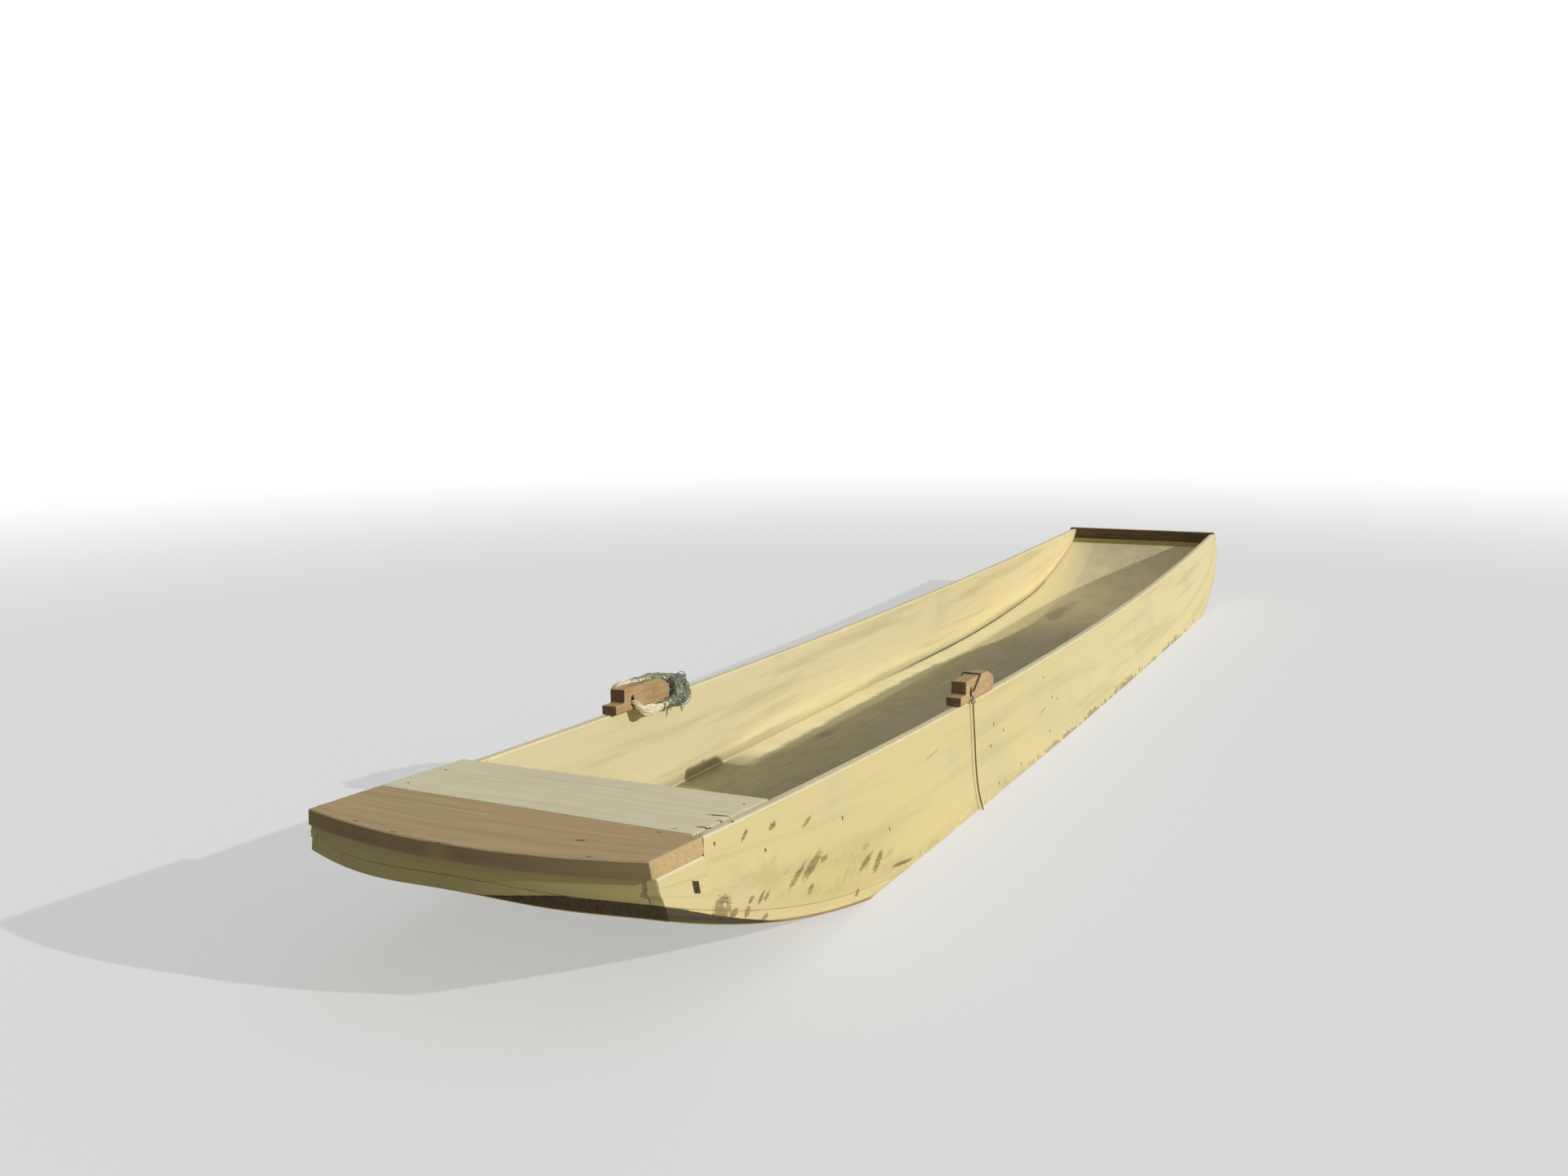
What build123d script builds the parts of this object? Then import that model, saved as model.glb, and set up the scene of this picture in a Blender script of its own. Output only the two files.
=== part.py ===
from build123d import *
from math import cos, pi, radians, sin, sqrt, tan
import os

# A flat-bottomed plank boat, in millimetres: X to the side, the bow towards -Y, Z up from the
# underside of the bottom planks.  A station is a distance aft of the corners of the bow.

hull_length = 6720            # bow corners to the aft ends of the side planks
bow_bulge = 95                # how far the rounded bow stands ahead of its corners
side_thickness = 26
side_lean = 11                # degrees that each side leans in towards the top
bottom_thickness = 30
seam = 0.3                    # paint and pitch between bent planks

# Outer half beam at the level of the underside, and how much each side comes in to the ends
half_beam = 546
beam_station = 3000
bow_taper, stern_taper = 17, 57

# The bottom is flat amidships and bends up to each end, first gently and then hard
bow_rise_length, bow_rise_height = 2400, 319
bow_gentle_angle, bow_hard_angle = 1.6, 19.4
stern_rise_length, stern_rise_height = 2120, 317
stern_gentle_angle, stern_hard_angle = 5.7, 24.9

# The bow is twisted: its bottom comes up higher on the left, where the outermost plank is bent
# along lines that run aft as they go out, this much for each unit across
bow_twist = 0.58

# Height of the gunwale above the underside where it is lowest, and at both ends
sheer_height = 357
sheer_station = 3400
bow_depth, stern_depth = 128, 88

run_out = 200                 # straight end of a bent plank before it is cut to length
inner_plank_width = 264

bow_board_width, bow_board_skew = 215, 40
bow_board_thickness = 40
bow_board_lip = 6             # over the bow transom
bow_transom_thickness = 45
deck_board_aft = 600
deck_board_thickness = 32
deck_tilt = 0.9               # degrees: the deck stands proud of the left side
deck_fall = 2.4               # degrees that the deck falls towards the stern
deck_overhang = 8             # past the left side
cleat_width, cleat_depth = 30, 40

stern_transom_thickness = 40
stern_board_thickness = 26
stern_board_height = 60
stern_board_overhang = 10     # past the left side
stern_notch = 45              # how deep the sides are notched for the stern board
stern_board_rise = 8          # how far it stands above the side planks

# Stepped wooden blocks that the oars work on, each at the station of its fore end
left_block_station, right_block_station = 1350, 1920
block_length, block_width, block_height = 340, 50, 72
block_step_length, block_step_height = 50, 30
block_slope_length, block_slope_drop = 60, 26
block_overhang = 2            # past the outer face of the side plank
lashing_hole_radius = 9       # for the rope through each block
lashing_hole_station, lashing_hole_height = 100, 28

# Ropes through the holes: along the block from its fore end, inboard of its outer face, and up
# from the gunwale.  The left one is a slack loop that takes an oar, wrapped in old netting.
strop_diameter, wrap_diameter, wrap_gap = 14, 28, 0.3
wrapped_runs = (8, 17)        # it covers the strop's route from the middle of one run to another
strop_route = [
    (100, 42, 26.3), (101, 58, 26), (108, 69, 12), (128, 71, -13), (160, 67, -33), (203, 62, -38),
    (248, 60, -32), (292, 60, -22), (336, 60, -16), (380, 59, -16), (421, 56, -10),
    (446, 47, 9), (440, 37, 36), (408, 31, 60), (364, 28, 79), (316, 26, 90), (266, 25, 92),
    (216, 23, 92), (170, 18, 91), (128, 7, 91), (98, -11, 87), (90, -22, 66), (96, -22, 42),
    (100, -9, 26.3), (100, 8, 26.3),
]
tail_diameter, lashing_diameter, lashing_radius = 5, 6, 4.5
tail_route = [
    (100, 6, 21.8), (99, -4, 21.8), (97, -8, 14), (93, -9, -2), (84, -14, -32), (66, -24, -84),
    (42, -35, -138), (20, -46, -196), (8, -57, -252), (12, -67, -302), (20, -72, -326),
]
lashing_route = [
    (100, 42, 28.4), (100, 53.5, 28.4), (186, 53.5, 75.5), (186, -3.5, 75.5), (112, -3.5, 31)
]

reach = 2 * half_beam         # half width of the bodies that planks are cut from
top_level = 3 * sheer_height  # above and below everything

lean = Vector(-sin(radians(side_lean)), 0, cos(radians(side_lean)))
side_plane = Plane(origin=(0, 0, 0), x_dir=Vector(0, 1, 0).cross(lean), z_dir=lean)


def at(station):
    """Y of a station: the middle of the whole boat is at Y = 0"""
    return station - (hull_length - bow_bulge - bow_board_lip) / 2


def outer_top(height, foot):
    """Half beam of the leaning outer face at a height, from that at its foot"""
    return foot - height * tan(radians(side_lean))


flat_fore, flat_aft = bow_rise_length, hull_length - stern_rise_length
sheer_bow, sheer_stern = bow_rise_height + bow_depth, stern_rise_height + stern_depth
bow_corner = outer_top(sheer_bow, half_beam - bow_taper)
bow_radius = (bow_corner**2 + bow_bulge**2) / (2 * bow_bulge)


def bends(length, height, gentle_angle, hard_angle):
    """The radius and turn of two tangent arcs that rise a height over a length"""
    first, both = radians(gentle_angle), radians(gentle_angle + hard_angle)
    along_gentle, along_hard = sin(first), sin(both) - sin(first)
    up_gentle, up_hard = 1 - cos(first), cos(first) - cos(both)
    scale = along_gentle * up_hard - along_hard * up_gentle
    gentle_radius = (length * up_hard - height * along_hard) / scale
    hard_radius = (height * along_gentle - length * up_gentle) / scale
    return [(gentle_radius, gentle_angle), (hard_radius, hard_angle)]


bow_bends = bends(bow_rise_length, bow_rise_height, bow_gentle_angle, bow_hard_angle)
stern_bends = bends(stern_rise_length, stern_rise_height, stern_gentle_angle, stern_hard_angle)


def rocker(rise):
    """Draws the bottom's long curve at a rise above its underside and returns both ends"""
    flat = Line((at(flat_fore), rise), (at(flat_aft), rise))
    ends = []
    for point, way, arcs in ((flat @ 0, -1, bow_bends), (flat @ 1, 1, stern_bends)):
        heading = Vector(way, 0)
        for radius, turn in arcs:
            bend = JernArc(start=point, tangent=heading, radius=radius - rise, arc_size=way * turn)
            point, heading = bend @ 1, bend % 1
        tail = Line(point, point + heading * run_out)
        ends.append(tail @ 1)
    return ends


def side_curve(inset):
    """Draws a side's long curve, inset from its outer face, square to the lean"""
    points = [
        ((half_beam - taper) * cos(radians(side_lean)) - inset, at(station))
        for taper, station in ((bow_taper, 0), (0, beam_station), (stern_taper, hull_length))
    ]
    edge = ThreePointArc(*points)
    fore = Line(edge @ 0 - (edge % 0) * run_out, edge @ 0) @ 0
    aft = Line(edge @ 1, edge @ 1 + (edge % 1) * run_out) @ 1
    return edge, fore, aft


# Outlines that the planks are cut from
with BuildSketch(Plane.YZ) as floor_band:
    with BuildLine():
        low_fore, low_aft = rocker(0)
        high_fore, high_aft = rocker(bottom_thickness)
        Line(low_fore, high_fore)
        Line(low_aft, high_aft)
    make_face()

with BuildSketch(Plane.YZ) as above_floor:
    with BuildLine():
        fore, aft = rocker(bottom_thickness + seam)
        Polyline(fore, (fore.X, top_level), (aft.X, top_level), aft)
    make_face()

with BuildSketch(Plane.YZ) as below_sheer:
    with BuildLine():
        sheer = ThreePointArc(
            (at(0), sheer_bow), (at(sheer_station), sheer_height), (at(hull_length), sheer_stern)
        )
        fore = sheer @ 0 - (sheer % 0) * run_out
        aft = sheer @ 1 + (sheer % 1) * run_out
        Polyline(sheer @ 0, fore, (fore.X, -top_level), (aft.X, -top_level), aft, sheer @ 1)
    make_face()

# The plan that all planks end on: round at the bow, square at the stern
with BuildSketch(Plane.XY) as plank_ends:
    with Locations((0, at(bow_radius - bow_bulge))):
        Circle(bow_radius)
    with BuildLine():
        Polyline(
            (-bow_radius, at(bow_radius - bow_bulge)),
            (bow_radius, at(bow_radius - bow_bulge)),
            (bow_radius, at(hull_length)),
            (-bow_radius, at(hull_length)),
            close=True,
        )
    make_face()

with BuildSketch(side_plane) as hull_outline:
    with BuildLine():
        plan_arc, fore, aft = side_curve(0)
        Polyline(fore, (-reach, fore.Y), (-reach, aft.Y), aft)
    make_face()

with BuildSketch(side_plane) as hull_inside:
    with BuildLine():
        inner_arc, fore, aft = side_curve(side_thickness + seam)
        Polyline(fore, (-reach, fore.Y), (-reach, aft.Y), aft)
    make_face()

with BuildSketch(side_plane) as side_wall:
    with BuildLine():
        outer_arc, outer_fore, outer_aft = side_curve(0)
        inner_arc, inner_fore, inner_aft = side_curve(side_thickness)
        Line(outer_fore, inner_fore)
        Line(outer_aft, inner_aft)
    make_face()

# The deck lies on a plane that falls aft and stands higher at its left end
deck_plane = Plane(Location((bow_corner, at(0), sheer_bow), (-deck_fall, deck_tilt, 0)))


def twisted(outline):
    """A body over a long outline, with the bow's twist past the last joint on the left"""
    straight = extrude(outline.sketch, amount=reach, both=True)
    joint = Pos(-inner_plank_width, at(beam_station), 0)
    far_left = joint * Box(reach, hull_length, 2 * top_level, align=(Align.MAX, Align.MAX, Align.CENTER))
    across = Vector(-1, bow_twist, 0)
    bent = extrude(Pos(-inner_plank_width, 0, 0) * outline.sketch, amount=2 * reach, dir=across)
    return straight - far_left + (bent & far_left)


def leaning(outline, side):
    """A leaning body over an outline, on the right (1) or the left (-1)"""
    body = extrude(outline.sketch, amount=top_level, both=True)
    return body if side > 0 else mirror(body, about=Plane.YZ)


def beam_at(station, height):
    """Half beam of the outer face at a station and a height"""
    middle = plan_arc.arc_center
    offset = middle.X + sqrt(plan_arc.radius**2 - (at(station) - middle.Y) ** 2)
    return outer_top(height, offset / cos(radians(side_lean)))


def sheer_at(station):
    """Height of the gunwale at a station"""
    middle = sheer.arc_center
    return middle.Y - sqrt(sheer.radius**2 - (at(station) - middle.X) ** 2)


def save(piece, name):
    piece.part.label = name
    export_step(piece.part, f"parts/{name}.step")


os.makedirs("parts", exist_ok=True)
outlines = {side: leaning(hull_outline, side) for side in (1, -1)}
insides = {side: leaning(hull_inside, side) for side in (1, -1)}
walls = {side: leaning(side_wall, side) for side in (1, -1)}
floor_layer = twisted(floor_band)
room_above = twisted(above_floor)

# Bottom planks, side by side from the left: columns are name, side, inner edge, outer edge
bottom_planks = [
    ("bottom_plank_far_left", -1, inner_plank_width, reach),
    ("bottom_plank_left", -1, 0, inner_plank_width),
    ("bottom_plank_right", 1, 0, inner_plank_width),
    ("bottom_plank_far_right", 1, inner_plank_width, reach),
]
for name, side, inner_edge, outer_edge in bottom_planks:
    with BuildPart() as bottom_plank:
        add(floor_layer)
        extrude(plank_ends.sketch, amount=top_level, both=True, mode=Mode.INTERSECT)
        with BuildSketch(Plane.XY.offset(-top_level)):
            with Locations((side * (inner_edge + outer_edge) / 2, 0)):
                Rectangle(outer_edge - inner_edge, 2 * hull_length)
        extrude(amount=2 * top_level, mode=Mode.INTERSECT)
        add(outlines[side], mode=Mode.INTERSECT)
    save(bottom_plank, name)

# The deck's outlines, from the right corner of the bow
left_end = -2 * bow_corner - deck_overhang
right_end = side_thickness
joint_left, joint_right = bow_board_width + bow_board_skew, bow_board_width
with BuildSketch(deck_plane) as bow_board_outline:
    with BuildLine():
        front = ThreePointArc(
            (left_end, -bow_board_lip),
            (-bow_corner, -bow_bulge - bow_board_lip),
            (right_end, -bow_board_lip),
        )
        Polyline(front @ 1, (right_end, joint_right), (left_end, joint_left), front @ 0)
    make_face()

with BuildSketch(deck_plane) as deck_board_outline:
    with BuildLine():
        Polyline(
            (right_end, joint_right),
            (right_end, deck_board_aft),
            (left_end, deck_board_aft),
            (left_end, joint_left),
            close=True,
        )
    make_face()

with BuildPart() as bow_board:
    extrude(bow_board_outline.sketch, amount=-bow_board_thickness)
    add(outlines[1], mode=Mode.INTERSECT)
save(bow_board, "bow_board")

with BuildPart() as deck_board:
    extrude(deck_board_outline.sketch, amount=-deck_board_thickness)
    add(insides[1], mode=Mode.INTERSECT)
save(deck_board, "deck_board")

with BuildPart() as deck_cleat:
    with BuildSketch(deck_plane.offset(-deck_board_thickness)):
        with Locations((-side_thickness, joint_left)):
            Rectangle(2 * cleat_width, deck_board_aft - joint_left, align=(Align.CENTER, Align.MIN))
    extrude(amount=-cleat_depth)
    add(insides[1], mode=Mode.INTERSECT)
save(deck_cleat, "deck_cleat")

with BuildPart() as bow_transom:
    with BuildSketch(Plane.XY.offset(-top_level)):
        with Locations((0, at(bow_radius - bow_bulge))):
            Circle(bow_radius)
            Circle(bow_radius - bow_transom_thickness, mode=Mode.SUBTRACT)
        with Locations((0, at(bow_transom_thickness))):
            Rectangle(
                2 * reach, bow_radius, align=(Align.CENTER, Align.MAX), mode=Mode.INTERSECT
            )
    extrude(amount=2 * top_level)
    add(room_above, mode=Mode.INTERSECT)
    with BuildSketch(deck_plane.offset(-bow_board_thickness)):
        Rectangle(4 * reach, 4 * reach)
    extrude(amount=2 * top_level, mode=Mode.SUBTRACT)
    for side in (1, -1):
        add(insides[side], mode=Mode.INTERSECT)
save(bow_transom, "bow_transom")

# Stern: a board let into the tops of both sides, with its lower part between them
stern_top = sheer_stern + stern_board_rise
with BuildSketch(Plane.XZ.offset(-at(hull_length))) as stern_board_ends:
    with Locations((0, sheer_stern - stern_notch)):
        Rectangle(
            2 * (beam_at(hull_length, sheer_stern) + stern_board_overhang),
            stern_top - sheer_stern + stern_notch,
            align=(Align.CENTER, Align.MIN),
        )

with BuildPart() as stern_board:
    with BuildSketch(Plane.XZ.offset(-at(hull_length))):
        with Locations((0, stern_top)):
            Rectangle(2 * reach, stern_board_height, align=(Align.CENTER, Align.MAX))
    extrude(amount=stern_board_thickness)
    for side in (1, -1):
        add(insides[side], mode=Mode.INTERSECT)
    extrude(stern_board_ends.sketch, amount=stern_board_thickness)
    add(outlines[1], mode=Mode.INTERSECT)
save(stern_board, "stern_board")

with BuildPart() as stern_transom:
    with BuildSketch(Plane.XZ.offset(-at(hull_length))):
        with Locations((0, stern_top - stern_board_height)):
            Rectangle(2 * reach, top_level, align=(Align.CENTER, Align.MAX))
    extrude(amount=stern_transom_thickness)
    add(room_above, mode=Mode.INTERSECT)
    for side in (1, -1):
        add(insides[side], mode=Mode.INTERSECT)
save(stern_transom, "stern_transom")

for name, side in (("side_plank_right", 1), ("side_plank_left", -1)):
    with BuildPart() as side_plank:
        add(room_above)
        extrude(below_sheer.sketch, amount=reach, both=True, mode=Mode.INTERSECT)
        extrude(plank_ends.sketch, amount=top_level, both=True, mode=Mode.INTERSECT)
        add(walls[side], mode=Mode.INTERSECT)
        extrude(bow_board_outline.sketch, amount=-bow_board_thickness, mode=Mode.SUBTRACT)
        extrude(bow_board_outline.sketch, amount=bow_board_thickness, mode=Mode.SUBTRACT)
        if side < 0:
            extrude(deck_board_outline.sketch, amount=-deck_board_thickness, mode=Mode.SUBTRACT)
            extrude(deck_board_outline.sketch, amount=deck_board_thickness, mode=Mode.SUBTRACT)
        extrude(stern_board_ends.sketch, amount=stern_board_thickness, mode=Mode.SUBTRACT)
    save(side_plank, name)


def block_plane(side, station):
    """At a block's fore end: X aft along the gunwale, Y up, and the outer face at Z = 0"""
    fore_seat, aft_seat = (
        Vector(0, at(place), sheer_at(place)) for place in (station, station + block_length)
    )
    middle = station + block_length / 2
    return Plane(
        origin=fore_seat + Vector(side * (beam_at(middle, sheer_at(middle)) + block_overhang), 0),
        x_dir=aft_seat - fore_seat,
        z_dir=(1, 0, 0),
    )


# Columns are name, side, station
oar_blocks = [
    ("oar_block_left", -1, left_block_station),
    ("oar_block_right", 1, right_block_station),
]
for name, side, station in oar_blocks:
    with BuildPart() as oar_block:
        with BuildSketch(block_plane(side, station)):
            with BuildLine():
                Polyline(
                    (0, seam),
                    (0, block_step_height),
                    (block_step_length, block_step_height),
                    (block_step_length, block_height),
                    (block_length - block_slope_length, block_height),
                    (block_length, block_height - block_slope_drop),
                    (block_length, seam),
                    close=True,
                )
            make_face()
            with Locations((lashing_hole_station, lashing_hole_height)):
                Circle(lashing_hole_radius, mode=Mode.SUBTRACT)
        extrude(amount=-side * block_width)
    save(oar_block, name)


def bend_radii(points, largest=1000):
    """The radius at each corner of a route, as large as its two runs allow"""
    radii = []
    for before, corner, after in zip(points, points[1:], points[2:]):
        turn = radians((corner - before).get_angle(after - corner))
        shorter = min((corner - before).length, (after - corner).length)
        radii.append(min(largest, 0.45 * shorter / tan(turn / 2)))
    return radii


def rope(name, points, radii, diameter, bore=0):
    """A round tube along straight runs and tangent arcs"""
    with BuildPart() as tube:
        with BuildLine() as route:
            FilletPolyline(*points, radius=radii)
        with BuildSketch(Plane(origin=points[0], z_dir=points[1] - points[0])):
            Circle(diameter / 2)
            if bore:
                Circle(bore / 2, mode=Mode.SUBTRACT)
        sweep(transition=Transition.ROUND)
    length = sum(edge.length for edge in route.edges())
    share = tube.part.volume / (pi * (diameter**2 - bore**2) / 4 * length)
    print(f"{name}: {length:.0f} long, radii {min(radii):.0f} to {max(radii):.0f}, {share:.4f}")
    save(tube, name)


def on_block(side, station, route):
    place = block_plane(side, station)
    return [place.from_local_coords(Vector(along, up, -side * inboard))
            for along, inboard, up in route]


strop = on_block(-1, left_block_station, strop_route)
strop_radii = bend_radii(strop)
rope("strop_left", strop, strop_radii, strop_diameter)
first, last = wrapped_runs
wrap_start = (strop[first] + strop[first + 1]) / 2
wrap_end = (strop[last - 1] + strop[last]) / 2
rope(
    "strop_wrap_left",
    [wrap_start, *strop[first + 1 : last], wrap_end],
    strop_radii[first : last - 1],
    wrap_diameter,
    strop_diameter + 2 * wrap_gap,
)
tail = on_block(1, right_block_station, tail_route)
rope("cord_tail_right", tail, bend_radii(tail), tail_diameter)
lashing = on_block(1, right_block_station, lashing_route)
rope("lashing_right", lashing, bend_radii(lashing, lashing_radius), lashing_diameter)
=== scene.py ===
import math
import random
import bmesh
import bpy
from mathutils import Matrix, Vector, noise


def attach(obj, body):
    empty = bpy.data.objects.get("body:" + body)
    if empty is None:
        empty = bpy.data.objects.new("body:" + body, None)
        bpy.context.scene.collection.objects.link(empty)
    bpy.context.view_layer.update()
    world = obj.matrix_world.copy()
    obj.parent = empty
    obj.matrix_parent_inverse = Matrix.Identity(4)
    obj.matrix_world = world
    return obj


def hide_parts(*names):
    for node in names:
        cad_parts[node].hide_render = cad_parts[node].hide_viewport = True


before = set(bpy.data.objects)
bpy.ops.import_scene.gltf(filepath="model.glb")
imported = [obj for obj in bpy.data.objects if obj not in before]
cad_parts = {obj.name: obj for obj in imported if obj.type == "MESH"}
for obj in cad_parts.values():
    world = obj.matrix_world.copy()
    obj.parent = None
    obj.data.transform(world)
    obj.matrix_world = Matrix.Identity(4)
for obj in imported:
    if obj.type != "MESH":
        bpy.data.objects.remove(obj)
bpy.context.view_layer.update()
print("frame loaded")

# helpers


def srgb(red, green, blue):  # a colour as it is seen, 0 to 255
    seen = [value / 255 for value in (red, green, blue)]
    return tuple(v / 12.92 if v < 0.04045 else ((v + 0.055) / 1.055) ** 2.4 for v in seen) + (1,)


def isWide(value):
    if isinstance(value, Wire):
        return value.socket.type in ("RGBA", "VECTOR")
    return not isinstance(value, (int, float))


class Wire:  # an output socket that sums can be written with
    def __init__(self, finish, socket):
        self.finish = finish
        self.socket = socket

    def work(self, operation, first, second):
        if isWide(first) or isWide(second):
            pair = [(v, v, v) if isinstance(v, (int, float)) else v for v in (first, second)]
            pair = [v[:3] if isinstance(v, tuple) else v for v in pair]
            return self.finish.node("VectorMath", {"operation": operation}, dict(enumerate(pair)))
        return self.finish.node("Math", {"operation": operation}, {0: first, 1: second})

    def __add__(self, other):
        return self.work("ADD", self, other)

    def __radd__(self, other):
        return self.work("ADD", other, self)

    def __sub__(self, other):
        return self.work("SUBTRACT", self, other)

    def __rsub__(self, other):
        return self.work("SUBTRACT", other, self)

    def __mul__(self, other):
        return self.work("MULTIPLY", self, other)

    def __rmul__(self, other):
        return self.work("MULTIPLY", other, self)


class Finish:  # the nodes of a material or of the world
    def __init__(self, owner):
        self.owner = owner
        owner.use_nodes = True
        self.tree = owner.node_tree
        self.tree.nodes.clear()

    def node(self, kind, settings=None, inputs=None, output=0):
        made = self.tree.nodes.new("ShaderNode" + kind)
        for word, value in (settings or {}).items():
            setattr(made, word, value)
        for word, value in (inputs or {}).items():
            if isinstance(value, Wire):
                self.tree.links.new(value.socket, made.inputs[word])
            else:
                made.inputs[word].default_value = value
        return Wire(self, made.outputs[output]) if made.outputs else None

    def attribute(self, name, kind="Vector"):
        return self.node("Attribute", {"attribute_name": name}, output=kind)

    def split(self, vector):
        return [self.node("SeparateXYZ", None, {0: vector}, axis) for axis in range(3)]

    def spot(self):
        return self.node("TexCoord", output="Object")

    def facing(self, axis):  # how far the surface looks along an axis
        return self.split(self.node("NewGeometry", output="Normal"))[axis]

    def flat(self, spot):  # seen from above: across, and aft of the bow corners
        x, y, z = self.split(spot)
        return self.node("CombineXYZ", None, {0: x, 1: y + hull["middle"]})

    def noise(self, at, scale=1.0, detail=3.0, roughness=0.5, distortion=0.0):
        return self.node(
            "TexNoise", {"noise_dimensions": "3D"},
            {"Vector": at, "Scale": scale, "Detail": detail, "Roughness": roughness,
             "Distortion": distortion})

    def fade(self, value, low, high, fromValue=0.0, toValue=1.0):  # a smooth step
        return self.node(
            "MapRange", {"interpolation_type": "SMOOTHSTEP"},
            {"Value": value, "From Min": low, "From Max": high, "To Min": fromValue,
             "To Max": toValue})

    def fall(self, value, low, high, fromValue=1.0):  # the same, down to nothing
        return self.fade(value, low, high, fromValue, 0.0)

    def mix(self, share, first, second):
        return self.node("Mix", {"data_type": "RGBA"}, {"Factor": share, 6: first, 7: second}, 2)

    def layers(self, colour, *marks):  # each: where, fading in from, to, how much, its colour
        for where, low, high, share, tint in marks:
            shown = self.fade(where, low, high)
            colour = self.mix(shown if share == 1 else shown * share, colour, tint)
        return colour

    def greater(self, first, second):
        return self.node("Math", {"operation": "MAXIMUM"}, {0: first, 1: second})

    def lesser(self, first, second):
        return self.node("Math", {"operation": "MINIMUM"}, {0: first, 1: second})

    def nearest(self, at, marks):  # 1 at the edge of the nearest oval mark and 0 in its middle
        found = None
        for x, y, half, height, turn in marks:
            turned = self.node("Mapping", {"vector_type": "TEXTURE"}, {
                "Vector": at, "Location": (x, y, 0), "Rotation": (0, 0, math.radians(turn)),
                "Scale": (half, height, 1)})
            away = self.node("VectorMath", {"operation": "LENGTH"}, {0: turned}, "Value")
            found = away if found is None else self.lesser(found, away)
        return found

    def backdropSeen(self):  # 1 where the white background may show
        ways = [self.node("LightPath", None, None, way + " Ray")
                for way in ("Is Camera", "Is Glossy", "Is Transmission")]
        return self.greater(self.greater(ways[0], ways[1]), ways[2])

    def finishOff(self, colour, roughness, height=None, strength=0.3, distance=0.002, **fixed):
        inputs = {"Base Color": colour, "Roughness": roughness, **fixed}
        if height is not None:
            inputs["Normal"] = self.node(
                "Bump", None, {"Strength": strength, "Distance": distance, "Height": height})
        shader = self.node("BsdfPrincipled", None, inputs)
        self.node("OutputMaterial", None, {"Surface": shader})
        return self.owner


def newFinish(name):
    return Finish(bpy.data.materials.new(name))


# the hull's own lines, in metres

hull = {
    "length": 6.72, "middle": 3.3095, "lean": 11, "seam": 0.0003,
    "sideThickness": 0.026, "bottomThickness": 0.03, "bowBulge": 0.095,
    "halfBeams": ((0, 0.529), (3.0, 0.546), (6.72, 0.489)),
    "sheer": ((0, 0.447), (3.4, 0.357), (6.72, 0.405)),
    "bowRise": (2.4, 0.319, 1.6, 19.4), "sternRise": (2.12, 0.317, 5.7, 24.9),
    "twist": 0.58, "twistFrom": 0.264, "twistSoft": 0.14, "twistEnd": 3.0,
    "sag": 0.010, "sagAt": 0.24, "sagWidth": 0.17, "sagEnd": 0.5, "waterline": 0.058,
}
cosLean = math.cos(math.radians(hull["lean"]))
tanLean = math.tan(math.radians(hull["lean"]))


def circleThrough(points):
    (ax, ay), (bx, by), (cx, cy) = points
    d = 2 * (ax * (by - cy) + bx * (cy - ay) + cx * (ay - by))
    a, b, c = ax * ax + ay * ay, bx * bx + by * by, cx * cx + cy * cy
    x = (a * (by - cy) + b * (cy - ay) + c * (ay - by)) / d
    y = (a * (cx - bx) + b * (ax - cx) + c * (bx - ax)) / d
    return x, y, math.hypot(ax - x, ay - y)


def bends(length, height, gentle, hard):
    first, both = math.radians(gentle), math.radians(gentle + hard)
    alongGentle, alongHard = math.sin(first), math.sin(both) - math.sin(first)
    upGentle, upHard = 1 - math.cos(first), math.cos(first) - math.cos(both)
    scale = alongGentle * upHard - alongHard * upGentle
    return [
        ((length * upHard - height * alongHard) / scale, first),
        ((height * alongGentle - length * upGentle) / scale, both - first),
    ]


sideArc = circleThrough([(beam * cosLean, u) for u, beam in hull["halfBeams"]])
sheerArc = circleThrough(hull["sheer"])
rises = {-1: bends(*hull["bowRise"]), 1: bends(*hull["sternRise"])}
cornerX = hull["halfBeams"][0][1] - hull["sheer"][0][1] * tanLean
bowRadius = (cornerX**2 + hull["bowBulge"] ** 2) / (2 * hull["bowBulge"])


def along(u):  # Y of a distance aft of the bow corners
    return u - hull["middle"]


def sideAt(u, z, depth=0.0):  # X of the right side's face, or of a layer inside it
    x, centre, radius = sideArc
    return (x + math.sqrt((radius - depth) ** 2 - (u - centre) ** 2)) / cosLean - z * tanLean


def sheerAt(u):
    centre, z, radius = sheerArc
    return z - math.sqrt(radius**2 - (u - centre) ** 2)


def bowShape(u, x):  # how the bottom's fore ends twist on the left and sag on the right
    past, soft = -x - hull["twistFrom"], hull["twistSoft"]
    past = past if past > soft else max(0.0, past + soft) ** 2 / (4 * soft)
    fade = min(1.0, max(0.0, (hull["sagEnd"] - u) / hull["sagEnd"]))
    sag = hull["sag"] * fade**2 * math.exp(-((x - hull["sagAt"]) / hull["sagWidth"]) ** 2)
    return (hull["twist"] * past if u < hull["twistEnd"] else 0.0), sag


def floorAt(u, rise, x=0.0):  # height of a layer of the bottom
    shift, sag = bowShape(u, x)
    return rockerAt(u - shift, rise) - sag


def rockerAt(u, rise):
    way = -1 if u < hull["bowRise"][0] else 1
    left = hull["bowRise"][0] - u if way < 0 else u - (hull["length"] - hull["sternRise"][0])
    travelled, z, heading = 0.0, rise, 0.0
    if left <= 0:
        return z
    for radius, turn in rises[way]:
        radius -= rise
        end = travelled + radius * (math.sin(heading + turn) - math.sin(heading))
        if left <= end:
            turned = math.asin(math.sin(heading) + (left - travelled) / radius)
            return z + radius * (math.cos(heading) - math.cos(turned))
        z += radius * (math.cos(heading) - math.cos(heading + turn))
        travelled, heading = end, heading + turn
    return z + (left - travelled) * math.tan(heading)


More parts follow.
